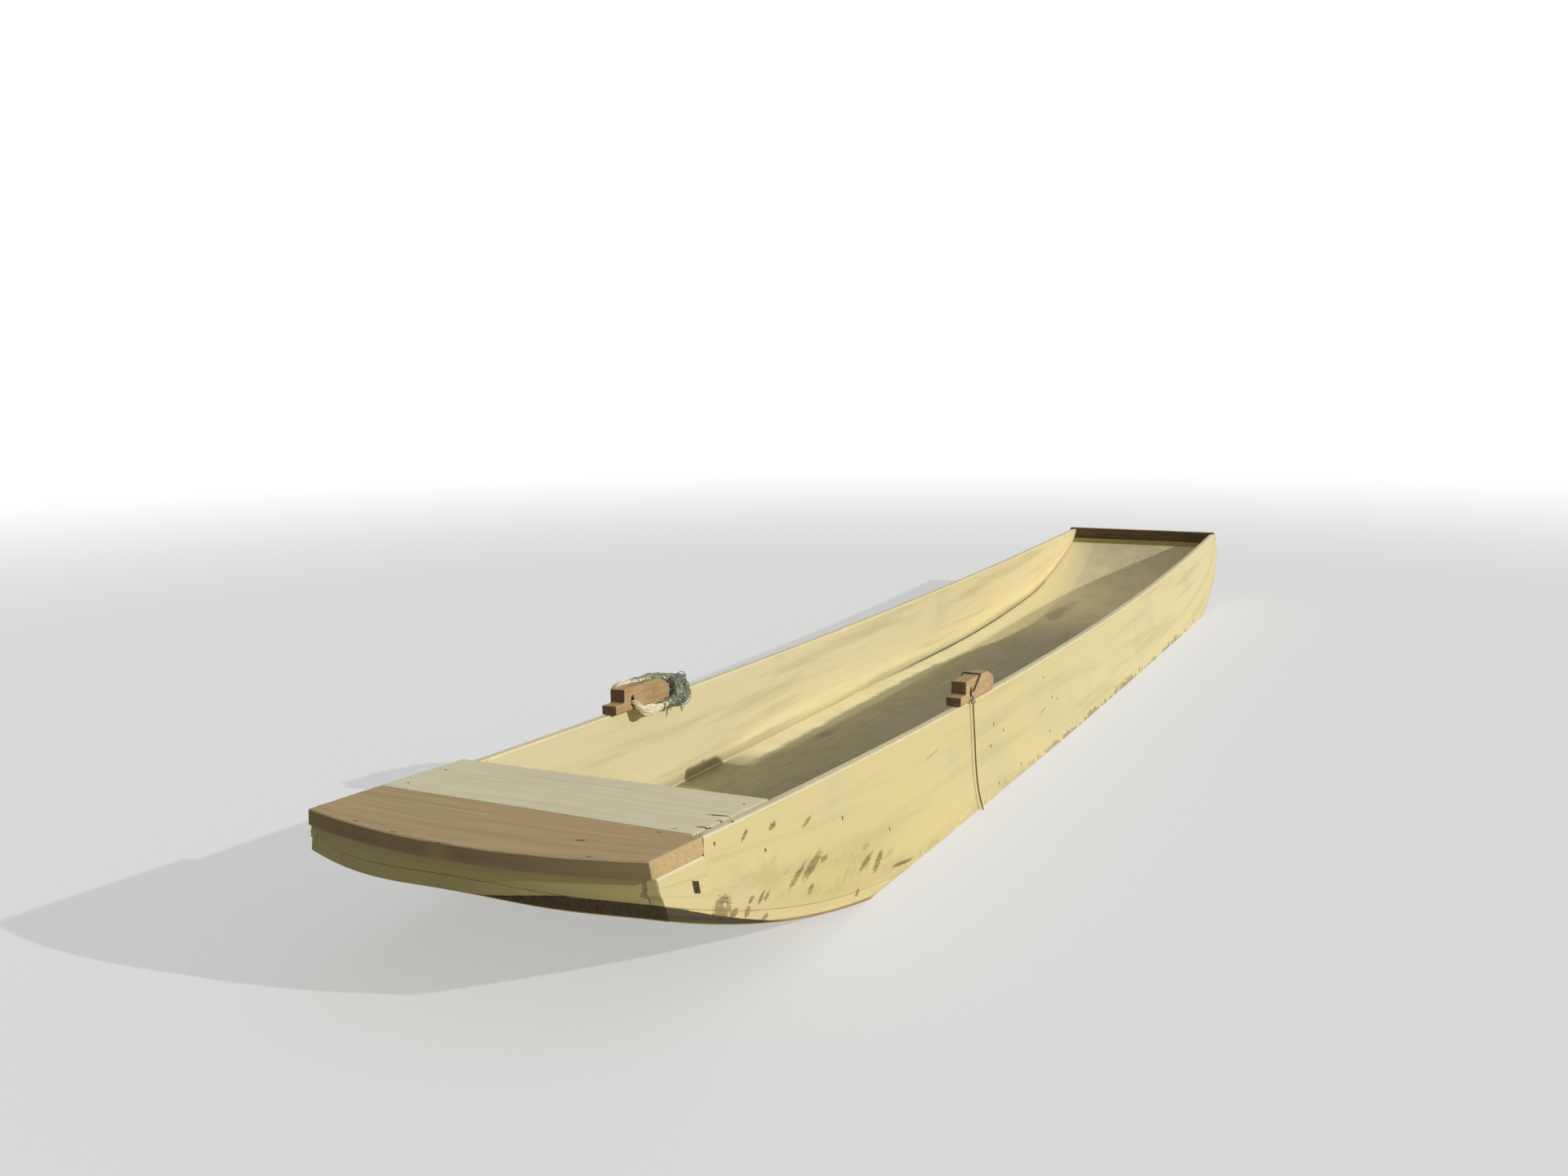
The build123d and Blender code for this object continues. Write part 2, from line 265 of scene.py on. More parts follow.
def chineAt(u, side, rise, depth=0.0):  # height of a layer of the bottom under a side plank
    z = floorAt(u, rise)
    for _ in range(2):
        z = floorAt(u, rise, side * sideAt(u, z, depth))
    return z


def bowAt(x):  # how far aft the rounded bow is at a distance from the middle line
    return bowRadius - hull["bowBulge"] - math.sqrt(bowRadius**2 - x**2)


deck = {
    "tilt": 0.9, "fall": 2.4, "boardWidth": 0.215, "boardSkew": 0.04, "boardThickness": 0.04,
    "lip": 0.006, "aft": 0.6, "thickness": 0.032, "overhang": 0.008,
}
deckTurn = (Matrix.Rotation(math.radians(-deck["fall"]), 3, "X")
            @ Matrix.Rotation(math.radians(deck["tilt"]), 3, "Y"))
deckCorner = Vector((cornerX, along(0), hull["sheer"][0][1]))
leftEnd, rightEnd = -2 * cornerX - deck["overhang"], hull["sideThickness"]


def onDeck(x, y, z):  # the deck's own axes: X along the boards, Y aft, Z up
    return deckCorner + deckTurn @ Vector((x, y, z))


def deckAt(u, x, below=0.0):  # height of the deck's plane, or below it
    normal = deckTurn @ Vector((0, 0, 1))
    across = (x - deckCorner.x) * normal.x + (along(u) - deckCorner.y) * normal.y
    return deckCorner.z - (across + below) / normal.z


def jointAt(x):  # the joint between the two deck boards
    return deck["boardWidth"] + (rightEnd - x) / (rightEnd - leftEnd) * deck["boardSkew"]


# camera

view = {
    "at": (2.063, -6.2435, 1.502), "towards": (-0.406, 0.902, -0.145),
    "level": (0.912, 0.409, -0.008), "lens": 38.45,
}
cameraData = bpy.data.cameras.new("camera")
cameraData.lens = view["lens"]
cameraData.sensor_width = 36
camera = bpy.data.objects.new("camera", cameraData)
bpy.context.collection.objects.link(camera)
back = -Vector(view["towards"]).normalized()
level = Vector(view["level"])
level = (level - level.dot(back) * back).normalized()
turned = Matrix((level, back.cross(level), back)).transposed()
camera.matrix_world = Matrix.Translation(view["at"]) @ turned.to_4x4()
bpy.context.scene.camera = camera


# making meshes


def lump(x, y, z):  # smooth noise, about -1 to 1
    return noise.noise(Vector((x, y, z)))


def spoke(one, two, angle):
    return one * math.cos(angle) + two * math.sin(angle)


def ringFaces(faces, start, count):  # between one ring of points and the next
    for k in range(count):
        a, b = start + k, start + (k + 1) % count
        faces.append((a, b, b + count, a + count))


def asObject(name, form):
    mesh = bpy.data.meshes.new(name)
    form.to_mesh(mesh)
    form.free()
    piece = bpy.data.objects.new(name, mesh)
    bpy.context.collection.objects.link(piece)
    return piece


def makeMesh(name, points, faces, grain=None, edge=None, smooth=True, board=None):
    mesh = bpy.data.meshes.new(name)
    mesh.from_pydata(points, [], faces)
    form = bmesh.new()
    form.from_mesh(mesh)
    bmesh.ops.recalc_face_normals(form, faces=form.faces)
    form.to_mesh(mesh)
    form.free()
    # where a point is in its board, along the grain first, and the same moved for each board
    for word, places in (("board", board), ("grain", grain)):
        if places is not None:
            layer = mesh.attributes.new(word, "FLOAT_VECTOR", "POINT")
            layer.data.foreach_set("vector", [value for point in places for value in point])
    if edge is not None:
        layer = mesh.attributes.new("edge", "FLOAT", "POINT")
        layer.data.foreach_set("value", edge)
    mesh.polygons.foreach_set("use_smooth", [smooth] * len(mesh.polygons))
    piece = bpy.data.objects.new(name, mesh)
    bpy.context.collection.objects.link(piece)
    return piece


def dress(piece, material, slot, *nodes):
    piece.data.materials.clear()
    piece.data.materials.append(material)
    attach(piece, "root")
    if nodes:
        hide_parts(*nodes)
    return piece


keptEdge = 0.012


def fit(value, full, actual, keep=keptEdge):  # stretches a board's middle and leaves its edges
    keep = min(keep, 0.4 * actual)
    if value < keptEdge:
        return value * keep / keptEdge
    if value > full - keptEdge:
        return actual - (full - value) * keep / keptEdge
    return keep + (value - keptEdge) * (actual - 2 * keep) / (full - 2 * keptEdge)


def axisMarks(length, step, rounding, extras=()):
    inner = length - 2 * rounding
    count = max(1, round(inner / step))
    marks = [rounding + inner * i / count for i in range(count + 1)]
    marks += [0, 0.35 * rounding, length - 0.35 * rounding, length]
    if inner > 0.01:  # rows close to the rounding keep the flats flat
        marks += [rounding + 0.0016, length - rounding - 0.0016]
    for extra in extras:
        marks += [extra - 0.0004, extra + 0.0004]
    return sorted(marks)


# a board with worn edges and close rows at its joints, made straight and then bent by a
# function of its own a, b and c
def makeBoard(name, values, bend, joints=()):
    size, rounding, seed = values["size"], values["rounding"], values["seed"]
    dings, warp, foot = values["dings"], values["warp"], values.get("foot")
    axes = [axisMarks(size[axis], values["steps"][axis], rounding, joints if axis == 0 else ())
            for axis in range(3)]
    ends = [len(marks) - 1 for marks in axes]
    index, marks, faces = {}, [], []

    def corner(key):
        if key not in index:
            index[key] = len(marks)
            marks.append(Vector([axes[axis][key[axis]] for axis in range(3)]))
        return index[key]

    for axis in range(3):
        one, two = (axis + 1) % 3, (axis + 2) % 3
        for end in (0, ends[axis]):
            for i in range(ends[one]):
                for j in range(ends[two]):
                    quad = []
                    for di, dj in ((0, 0), (1, 0), (1, 1), (0, 1)):
                        key = [0, 0, 0]
                        key[axis], key[one], key[two] = end, i + di, j + dj
                        quad.append(corner(tuple(key)))
                    faces.append(quad if end else quad[::-1])
    points, grain, edge = [], [], []
    for mark in marks:
        radius = foot if foot and mark.y < size[1] / 2 else rounding
        inner = Vector([min(max(mark[axis], radius), size[axis] - radius) for axis in range(3)])
        out = mark - inner
        gaps = sorted(min(mark[axis], size[axis] - mark[axis]) for axis in range(3))
        near = max(0.0, 1 - gaps[1] / (1.6 * rounding))
        worn = lump(mark.x * 9 + seed, mark.y * 23, mark.z * 23)
        worn += 0.5 * lump(mark.x * 41, mark.y * 60 + seed, mark.z * 60)
        reach = max(0.3 * radius, radius - dings * near * max(0.0, worn))
        shaped = inner + out.normalized() * reach if out.length else mark.copy()
        slow = lump(mark.x * 1.1 + seed, mark.y * 7, seed)
        shaped.z += warp * slow
        points.append(bend(*shaped))
        grain.append(mark + Vector((seed * 1.7, seed * 0.37, seed * 0.61)))
        edge.append(min(gaps[1], 0.05))
    return makeMesh(name, points, faces, grain, edge, board=marks)


# ropes

blocks = {
    "length": 0.34, "width": 0.05, "overhang": 0.002, "stations": {-1: 1.35, 1: 1.92},
    "profile": (
        (0, 0.0003), (0, 0.03), (0.05, 0.03), (0.05, 0.072), (0.28, 0.072), (0.34, 0.046),
        (0.34, 0.0003)),
    "hole": (0.1, 0.028), "bore": (0.0085, 0.0125), "voxel": 0.0022, "worn": 0.0006,
}


def onBlock(side, aft, inboard, up):  # aft of a block's fore end, in from its outer face
    station = blocks["stations"][side]
    middle = station + blocks["length"] / 2
    fore = Vector((0, along(station), sheerAt(station)))
    run = Vector((0, along(station + blocks["length"]), sheerAt(station + blocks["length"]))) - fore
    run.normalize()
    rise = Vector((1, 0, 0)).cross(run)
    outer = sideAt(middle, sheerAt(middle)) + blocks["overhang"]
    return Vector((side * (outer - inboard), 0, 0)) + fore + run * aft + rise * up


def blockRoute(side, route):  # the same for a rope's places, in millimetres
    return [onBlock(side, *(place / 1000 for place in spot)) for spot in route]


def splinePoints(name, route):  # the smooth line that a rope follows
    curve = bpy.data.curves.new(name, "CURVE")
    curve.dimensions = "3D"
    curve.resolution_u = 12
    spline = curve.splines.new("NURBS")
    spline.points.add(len(route) - 1)
    for point, place in zip(spline.points, route):
        point.co = (*place, 1)
    spline.order_u = 3
    spline.use_endpoint_u = True
    line = bpy.data.objects.new(name, curve)
    mesh = bpy.data.meshes.new_from_object(line)
    points = [vertex.co.copy() for vertex in mesh.vertices]
    bpy.data.objects.remove(line)
    bpy.data.meshes.remove(mesh)
    return points


def evenly(points, step):  # points a step apart on a line through close points
    marks, carried = [points[0].copy()], 0.0
    for before, after in zip(points, points[1:]):
        length = (after - before).length
        while carried + length >= step:
            before = before.lerp(after, (step - carried) / length)
            length = (after - before).length
            marks.append(before.copy())
            carried = 0.0
        carried += length
    if (points[-1] - marks[-1]).length > 0.3 * step:
        marks.append(points[-1].copy())
    else:
        marks[-1] = points[-1].copy()
    return marks


def framesOf(points):  # a frame that doesn't twist at each point
    frames, normal = [], None
    for i, point in enumerate(points):
        ahead = points[min(i + 1, len(points) - 1)] - points[max(i - 1, 0)]
        ahead.normalize()
        if normal is None:
            normal = ahead.orthogonal().normalized()
        normal = (normal - ahead * normal.dot(ahead)).normalized()
        frames.append((normal, ahead.cross(normal), ahead))
    return frames


def walk(line, frames):  # each point with the way travelled to it and its frame
    travelled = 0.0
    for i, (centre, (one, two, ahead)) in enumerate(zip(line, frames)):
        travelled += (centre - line[i - 1]).length if i else 0
        yield travelled, centre, one, two


def tube(line, radiusAt, sides, points, faces, grain, turn=0.0):  # adds a closed tube
    frames, start = framesOf(line), len(points)
    for travelled, centre, one, two in walk(line, frames):
        for k in range(sides):
            angle = 2 * math.pi * k / sides
            radius = radiusAt(travelled, angle)
            points.append(centre + spoke(one, two, angle) * radius)
            grain.append((travelled, angle * 0.002, turn))
    count = len(line)
    for i in range(count - 1):
        ringFaces(faces, start + i * sides, sides)
    for ring, way in ((0, -1), (count - 1, 1)):
        tip = len(points)
        one, two, ahead = frames[ring]
        points.append(line[ring] + ahead * way * radiusAt(0, 0) * 0.5)
        grain.append((0, 0, turn))
        for k in range(sides):
            a, b = start + ring * sides + k, start + ring * sides + (k + 1) % sides
            faces.append((a, b, tip) if way > 0 else (b, a, tip))


def tubePiece(name, line, radiusAt, sides, turn):
    points, faces, grain = [], [], []
    tube(line, radiusAt, sides, points, faces, grain, turn)
    return makeMesh(name, points, faces, grain)


def helix(points, radius, pitch, start):  # a line wound round another
    wound = []
    for travelled, centre, one, two in walk(points, framesOf(points)):
        angle = start + 2 * math.pi * travelled / pitch
        wound.append(centre + spoke(one, two, angle) * radius)
    return wound


strop = {
    "diameter": 0.014, "slack": 0.021, "most": 0.0108, "flat": 0.66, "folds": 5, "twist": 0.16,
    "step": 0.003,
    "route": (
        (100, 42, 26.3), (101, 56, 26), (108, 66, 14), (126, 70, -2), (160, 69, -13),
        (203, 66, -15), (248, 63, -14), (292, 61, -12), (336, 60, -12), (380, 59, -13),
        (421, 56, -8), (446, 47, 9), (442, 39, 28), (412, 33, 46), (366, 29, 60), (318, 27, 69),
        (270, 25, 78), (216, 22, 79), (168, 16, 79), (122, 7, 79), (96, -3, 78), (86, -11, 62),
        (92, -16, 42), (100, -9, 26.3), (100, 8, 26.3)),
}


def lengthOf(points):
    return sum((b - a).length for a, b in zip(points, points[1:]))


def nearestTo(marks, place):
    return min(range(len(marks)), key=lambda i: (marks[i] - place).length)


stropMarks = evenly(splinePoints("strop_line", blockRoute(-1, strop["route"])), strop["step"])


def ragRadius(travelled, angle):  # cloth crumpled into a cord, wide where it droops
    swell = 1.12 if travelled < 0.25 else 0.88
    swell = min(swell, 0.45 + travelled / 0.05)
    half = strop["slack"] / 2 * swell
    turn = angle + 2 * math.pi * travelled / strop["twist"]
    wide, thin = half, half * strop["flat"]
    lean = angle - 0.5
    reach = wide * thin / math.hypot(thin * math.cos(lean), wide * math.sin(lean))
    fold = math.sin(0.5 * strop["folds"] * turn + 2 * lump(travelled * 22, 0, 1))
    crease = 0.78 + 0.3 * abs(fold)
    lumps = lump(travelled * 40, math.cos(turn) * 0.9, math.sin(turn) * 0.9)
    return min(reach * crease * (1 + 0.22 * lumps), strop["most"])


stropPiece = tubePiece("strop_left_rag_rope", stropMarks, ragRadius, 40, 0.2)

rag = {  # the bunched cloth that hangs from the hole to the netting
    "line": (
        (106, 57, 21), (116, 65, 9), (130, 69, -2), (146, 70, -8), (165, 70, -10),
        (190, 68, -11), (220, 66, -12), (258, 64, -13)),
    "high": (0.007, 0.012, 0.018, 0.021, 0.018, 0.0135, 0.012, 0.0095),
    "wide": 0.0105, "pleats": 7, "step": 0.0025,
}
ragMarks = evenly(splinePoints("rag_line", blockRoute(-1, rag["line"])), rag["step"])
ragFrames, ragLength = framesOf(ragMarks), lengthOf(ragMarks)


def foldRadius(travelled, angle):  # tall and thin, pleated along, its lower edge ragged
    one, two, _ = ragFrames[min(round(travelled / rag["step"]), len(ragMarks) - 1)]
    away = spoke(one, two, angle)
    place = min(travelled / ragLength, 0.999) * (len(rag["high"]) - 1)
    before, part = rag["high"][int(place)], place - int(place)
    high = before + (rag["high"][int(place) + 1] - before) * part
    ripple = lump(travelled * 34, 0, 5)
    if away.z < 0:
        high *= 1 + 0.3 * ripple
    reach = 1 / math.hypot(away.z / high, math.hypot(away.x, away.y) / rag["wide"])
    pleat = abs(math.sin(0.5 * rag["pleats"] * angle + 20 * travelled + 1.4 * ripple))
    crumple = lump(travelled * 70, away.z * 3, away.x * 3)
    return reach * (0.76 + 0.3 * pleat + 0.1 * crumple)


ragFoldsPiece = tubePiece("strop_left_rag_folds", ragMarks, foldRadius, 56, 0.7)

# the netting covers the strop from over its aft end to the top of the block
wrap = {
    "core": 0.0115, "cord": 0.0026, "strands": 48, "tangle": 26, "tail": 9,
    "from": (0.256, 0.063, -0.014), "to": (0.152, 0.013, 0.081),
    "tangleAt": ((0.392, 0.044, 0.024), (0.05, 0.022, 0.038)), "tailAt": (0.388, 0.062, -0.012),
    "heap": ((352, 50, -4), (395, 50, 4), (412, 45, 22), (390, 39, 38), (357, 34, 50)),
    "heapRadius": 0.019,
}
wrapFrom, wrapTo = (nearestTo(stropMarks, onBlock(-1, *wrap[end])) for end in ("from", "to"))
wrapMarks = evenly(stropMarks[wrapFrom:wrapTo + 1], strop["step"])
wrapLength = lengthOf(wrapMarks)


def netSwell(travelled):  # bulky round the aft end, thinner on the block
    share = travelled / wrapLength
    bulk = 0.85 * math.exp(-((share - 0.33) / 0.2) ** 2)
    return 0.75 + bulk - 0.25 * max(0.0, share - 0.85) / 0.15


def netRadius(travelled, angle):
    lumps = lump(travelled * 55, math.cos(angle) * 1.2, math.sin(angle) * 1.2)
    return wrap["core"] * netSwell(travelled) * (0.8 + 0.35 * lumps)


points, faces, grain = [], [], []
tube(wrapMarks, netRadius, 24, points, faces, grain, 9)
heapLine = evenly(splinePoints("heap_line", blockRoute(-1, wrap["heap"])), strop["step"])


def heapRadius(travelled, angle):
    share = travelled / lengthOf(heapLine)
    lumps = lump(travelled * 45, math.cos(angle) * 1.4, math.sin(angle) * 1.4)
    full = math.sin(math.pi * min(max(share, 0.02), 0.98)) ** 0.5
    return wrap["heapRadius"] * (0.35 + 0.65 * full) * (0.85 + 0.4 * lumps)


tube(heapLine, heapRadius, 24, points, faces, grain, 12)
frames = framesOf(wrapMarks)
chance = random.Random(5)
for strand in range(wrap["strands"]):
    begin = int(chance.uniform(0, 0.45) * len(wrapMarks)) if strand % 3 else 0
    end = int(chance.uniform(0.6, 1.0) * len(wrapMarks)) if strand % 2 else len(wrapMarks)
    phase = chance.uniform(0, 6.28)
    pitchLength = chance.choice((-1, 1)) * chance.uniform(0.07, 0.24)
    reachShare, wound = chance.uniform(0.82, 1.25), []
    for i in range(begin, end):
        travelled = i * strop["step"]
        angle = phase + 2 * math.pi * travelled / pitchLength
        angle += 1.6 * lump(travelled * 30, strand, 0.3)
        off = wrap["core"] * netSwell(travelled) * reachShare
        off *= 1 + 0.42 * lump(travelled * 38, strand * 1.7, 4)
        one, two, _ = frames[i]
        wound.append(wrapMarks[i] + spoke(one, two, angle) * off)
    if len(wound) > 8:
        tube(wound, lambda s, a: wrap["cord"] / 2, 5, points, faces, grain, strand)
(aft, inboard, up), reaches = wrap["tangleAt"]
for strand in range(wrap["tangle"]):  # slack loops between the block's aft end and the strop
    first, second = chance.uniform(0, 6.28), chance.uniform(0, 6.28)
    loop = []
    for i in range(72):
        angle = 2 * math.pi * i / 60
        ripple = 1 + 0.3 * lump(math.cos(angle) * 1.5, math.sin(angle) * 1.5, strand)
        p = math.cos(angle) * ripple * reaches[0]
        q = math.sin(angle + first) * ripple * reaches[2]
        r = math.sin(2 * angle + second) * reaches[1]
        loop.append(onBlock(-1, aft + p * 0.75, inboard + r, up + q))
    loop = loop[:chance.randint(40, 60)]
    tube(loop, lambda s, a: wrap["cord"] / 2, 5, points, faces, grain, strand + 40)
aft, inboard, up = wrap["tailAt"]
for strand in range(wrap["tail"]):  # the loose end that hangs inboard
    side = chance.uniform(-0.005, 0.005)
    drop = chance.uniform(0.028, 0.042)
    hung = []
    for i in range(14):
        share = i / 13
        sway = 0.004 * lump(share * 3, strand, 8)
        place = aft + side * (1 - 0.4 * share) + sway
        hung.append(onBlock(-1, place, inboard + 0.006 * share + sway, up - drop * share))
    tube(hung, lambda s, a: wrap["cord"] * 0.6, 5, points, faces, grain, strand + 70)
wrapPiece = makeMesh("strop_left_netting", points, faces, grain)

tail = {
    "diameter": 0.005, "strands": 3, "pitch": 0.018, "step": 0.0022,
    "knot": (0.0058, 0.0048), "paleKnot": (0.0062, 0.0056), "paleKnotAt": (94, -8.5, 3.5),
    "route": (
        (100, 6, 21.8), (99, -4, 21.8), (97, -8, 14), (93, -9, -2), (84, -14, -32), (66, -24, -84),
        (42, -35, -138), (20, -46, -196), (8, -57, -252), (12, -67, -302), (20, -72, -326)),
}
tailMarks = evenly(splinePoints("tail_line", blockRoute(1, tail["route"])), tail["step"])


def laid(name, marks, rope):  # strands laid round each other
    points, faces, grain = [], [], []
    for strand in range(rope["strands"]):
        start = 2 * math.pi * strand / rope["strands"]
        wound = helix(marks, 0.27 * rope["diameter"], rope["pitch"], start)
        tube(wound, lambda s, a: 0.25 * rope["diameter"], 6, points, faces, grain, strand)
    return makeMesh(name, points, faces, grain)


def stopperKnot(name, middle, radius, thickness, seed):  # an overhand knot pulled tight
    line = []
    for i in range(97):
        angle = 2 * math.pi * i / 96
        line.append(middle + Vector((
            (math.sin(angle) + 2 * math.sin(2 * angle)) * radius / 3,
            (math.cos(angle) - 2 * math.cos(2 * angle)) * radius / 3,
            -math.sin(3 * angle) * radius * 0.62 + 0.2 * radius * lump(angle, seed, 0))))
    return tubePiece(name, line, lambda s, a: thickness / 2, 8, seed)


tailPiece = laid("tail_cord_right", tailMarks, tail)
tailEnd = tailMarks[-1] - Vector((0, 0, 0.002))
ropeEnd = blockRoute(1, [tail["paleKnotAt"]])[0]
tailKnotPiece = stopperKnot("tail_knot_right", tailEnd, *tail["knot"], 1)
paleKnotPiece = stopperKnot("pale_knot_right", ropeEnd, *tail["paleKnot"], 2)

lashing = {
    "diameter": 0.006, "strands": 2, "pitch": 0.014, "step": 0.002,
    "route": (
        (100, 42, 28.4), (100, 50, 28.6), (101, 54.5, 30), (104, 54.2, 32.5), (140, 54, 53),
        (180, 53.8, 73.5), (186, 53.6, 75.8), (187, 51, 76.2), (187, 44, 75.6), (187, 6, 75.6),
        (187, -1, 76.2), (186, -3.6, 75.8), (180, -4, 72.5), (146, -4, 51), (114, -4, 32)),
}
lashingLine = splinePoints("lashing_line", blockRoute(1, lashing["route"]))
lashingMarks = evenly(lashingLine, lashing["step"])
lashingPiece = laid("lashing_right_twine", lashingMarks, lashing)
print("ropes made")

# planks of the hull

gaps = {"seam": hull["seam"], "behind": 0.0006, "deck": 0.001, "bow": 0.0005}  # between boards
jointFrom = {1: deck["boardWidth"], -1: deck["boardWidth"] + deck["boardSkew"]}


def sideTop(u, x, side):  # height of a side plank's upper edge, lowered where boards lie on it
    if u < jointFrom[side]:
        return deckAt(u, x, deck["boardThickness"])
    if side < 0 and u < deck["aft"]:
        return deckAt(u, x, deck["thickness"])
    if u > sternFront:
        return hull["sheer"][2][1] - sternBoard["notch"]
    return sheerAt(u)


sternBoard = {
    "size": (0.84, 0.06, 0.026), "steps": (0.02, 0.008, 0.008), "rounding": 0.004,
    "dings": 0.002, "warp": 0.0005, "seed": 23.1, "overhang": 0.01, "notch": 0.045, "rise": 0.008,
}
sternFront = hull["length"] - sternBoard["size"][2]
sidePlank = {
    "size": (hull["length"], 0.34, hull["sideThickness"]), "steps": (0.018, 0.016, 0.006),
    "rounding": 0.0045, "foot": 0.0004, "dings": 0.0012, "warp": 0.0006, "seed": 3.0,
    "foreTop": 0.44,
}


def sideBend(side):
    def bend(a, b, c):
        z = chineAt(0, side, hull["bottomThickness"]) + b
        cut = bowAt(sideAt(0, min(z, sidePlank["foreTop"]), c))
        u = cut + a * (hull["length"] - cut) / hull["length"]
        low = chineAt(u, side, hull["bottomThickness"] + gaps["seam"], c)
        high = sideTop(u, side * sideAt(u, low + 0.1, c), side)
        z = low + fit(b, sidePlank["size"][1], high - low)
        return side * sideAt(u, z, c), along(u), z
    return bend


sides = []
for side, name in ((1, "right"), (-1, "left")):
    joints = [jointFrom[side]] if side > 0 else [jointFrom[side], deck["aft"]]
    values = dict(sidePlank, seed=sidePlank["seed"] + side)
    sides.append(makeBoard(
        "side_plank_" + name + "_painted", values, sideBend(side), [*joints, sternFront]))

bottom = {
    "inner": 0.264, "outer": 0.281, "gap": 0.0001, "steps": (0.024, 0.024, 0.01),
    "rounding": 0.0004, "dings": 0.0012, "warp": 0.0, "seed": 7.0,
}


def bottomBend(side, outermost):
    def bend(a, b, c):
        x = bottom["gap"] / 2 + b * (bottom["inner"] - bottom["gap"]) / bottom["inner"]
        if outermost:
            x = bottom["inner"] + bottom["gap"] / 2
            nearX = sideAt(min(a, hull["length"]), floorAt(max(a, 0.05), c))
            x += fit(b, bottom["outer"], nearX - x)
        cut = bowAt(x)
        u = cut + a * (hull["length"] - cut) / hull["length"]
        z = floorAt(u, c, side * x)
        if outermost:
            x = bottom["inner"] + bottom["gap"] / 2
            x += fit(b, bottom["outer"], sideAt(u, chineAt(u, side, c)) - x)
            z = floorAt(u, c, side * x)
        return side * x, along(u), z
    return bend


floorBoards = []
for name, side, outermost in (
        ("far_left", -1, True), ("left", -1, False), ("right", 1, False), ("far_right", 1, True)):
    width = bottom["outer"] if outermost else bottom["inner"]
    values = dict(bottom, size=(hull["length"], width, hull["bottomThickness"]),
                  seed=bottom["seed"] + side * (2 if outermost else 1))
    floorBoards.append(makeBoard(
        "bottom_plank_" + name + "_wood", values, bottomBend(side, outermost)))
print("hull planks made")

# bow

frontArc = circleThrough((
    (leftEnd, -deck["lip"]), (-cornerX, -hull["bowBulge"] - deck["lip"]), (rightEnd, -deck["lip"])))


def frontAt(x):
    centre, y, radius = frontArc
    return y - math.sqrt(radius**2 - (x - centre) ** 2)


bowBoard = {
    "size": (0.92, 0.33, deck["boardThickness"]), "steps": (0.014, 0.014, 0.01),
    "rounding": 0.005, "dings": 0.003, "warp": 0.0, "seed": 11.3,
}


def bowBoardBend(a, b, c):  # a from the left end, b from the front, c from the top
    x = leftEnd + a
    for _ in range(3):
        front = frontAt(min(x, rightEnd))
        y = front + fit(b, bowBoard["size"][1], jointAt(x) - front)
        u = y + hull["seam"]
        z = deckAt(max(u, 0), cornerX) - c
        right = sideAt(max(u, 0), z) - deckCorner.x
        x = leftEnd + fit(a, bowBoard["size"][0], right - leftEnd)
    return onDeck(x, y, -c)


bowBoardPiece = makeBoard("bow_board_wood", bowBoard, bowBoardBend)

deckBoard = {
    "size": (0.88, 0.36, deck["thickness"]), "steps": (0.014, 0.014, 0.008),
    "rounding": 0.004, "dings": 0.0025, "warp": 0.0, "seed": 17.9,
}


def deckBoardBend(a, b, c):
    x = leftEnd + a
    for _ in range(3):
        y = jointAt(x) + gaps["deck"]
        y += fit(b, deckBoard["size"][1], deck["aft"] - y)
        z = deckAt(y, cornerX) - c
        right = sideAt(y, z, hull["sideThickness"] + gaps["deck"]) - deckCorner.x
        x = leftEnd + fit(a, deckBoard["size"][0], right - leftEnd)
    return onDeck(x, y, -c)


deckBoardPiece = makeBoard("deck_board_grey", deckBoard, deckBoardBend)

cleat = {
    "size": (0.345, 0.03, 0.04), "steps": (0.02, 0.01, 0.01), "rounding": 0.003,
    "dings": 0.0012, "warp": 0.0005, "seed": 2.2,
}


def cleatBend(a, b, c):
    y = jointFrom[-1] + a
    z = deckAt(y, cornerX, deck["thickness"]) - c
    x = sideAt(y, z, hull["sideThickness"] + gaps["behind"]) - b
    return x, along(y), z


cleatPiece = makeBoard("deck_cleat_wood", cleat, cleatBend)

bowTransom = {
    "size": (0.86, 0.07, 0.045), "steps": (0.02, 0.01, 0.012), "rounding": 0.0012,
    "dings": 0.001, "warp": 0.0005, "seed": 5.5,
}


def bowTransomBend(a, b, c):
    share = a / bowTransom["size"][0]
    z = 0.36
    for _ in range(2):
        edge = sideAt(0.01, z, hull["sideThickness"] + gaps["behind"])
        x = -edge + 2 * edge * share
        u = bowAt(x) + gaps["bow"] + c
        low = floorAt(u, hull["bottomThickness"] + gaps["seam"], x)
        high = deckAt(u, x, deck["boardThickness"])
        z = low + fit(b, bowTransom["size"][1], high - low)
    return x, along(u), z


bowTransomPiece = makeBoard("bow_transom_painted", bowTransom, bowTransomBend)

# stern

sternTop = hull["sheer"][2][1] + sternBoard["rise"]
sternLow = sternTop - sternBoard["size"][1]


def sternBoardBend(a, b, c):  # a from the left end, b from its lower edge, c from the aft face
    u = hull["length"] - c
    z = sternLow + b
    notch = hull["sheer"][2][1] - sternBoard["notch"]
    if z < notch + 0.0002:
        left = right = sideAt(u, z, hull["sideThickness"] + gaps["behind"])
    else:
        left = sideAt(hull["length"], hull["sheer"][2][1]) + sternBoard["overhang"]
        right = sideAt(u, z)
    return -left + fit(a, sternBoard["size"][0], left + right), along(u), z


sternBoardPiece = makeBoard("stern_board_wood", sternBoard, sternBoardBend)

sternTransom = {
    "size": (0.78, 0.02, 0.04), "steps": (0.03, 0.008, 0.01), "rounding": 0.002,
    "dings": 0.0, "warp": 0.0005, "seed": 29.0,
}


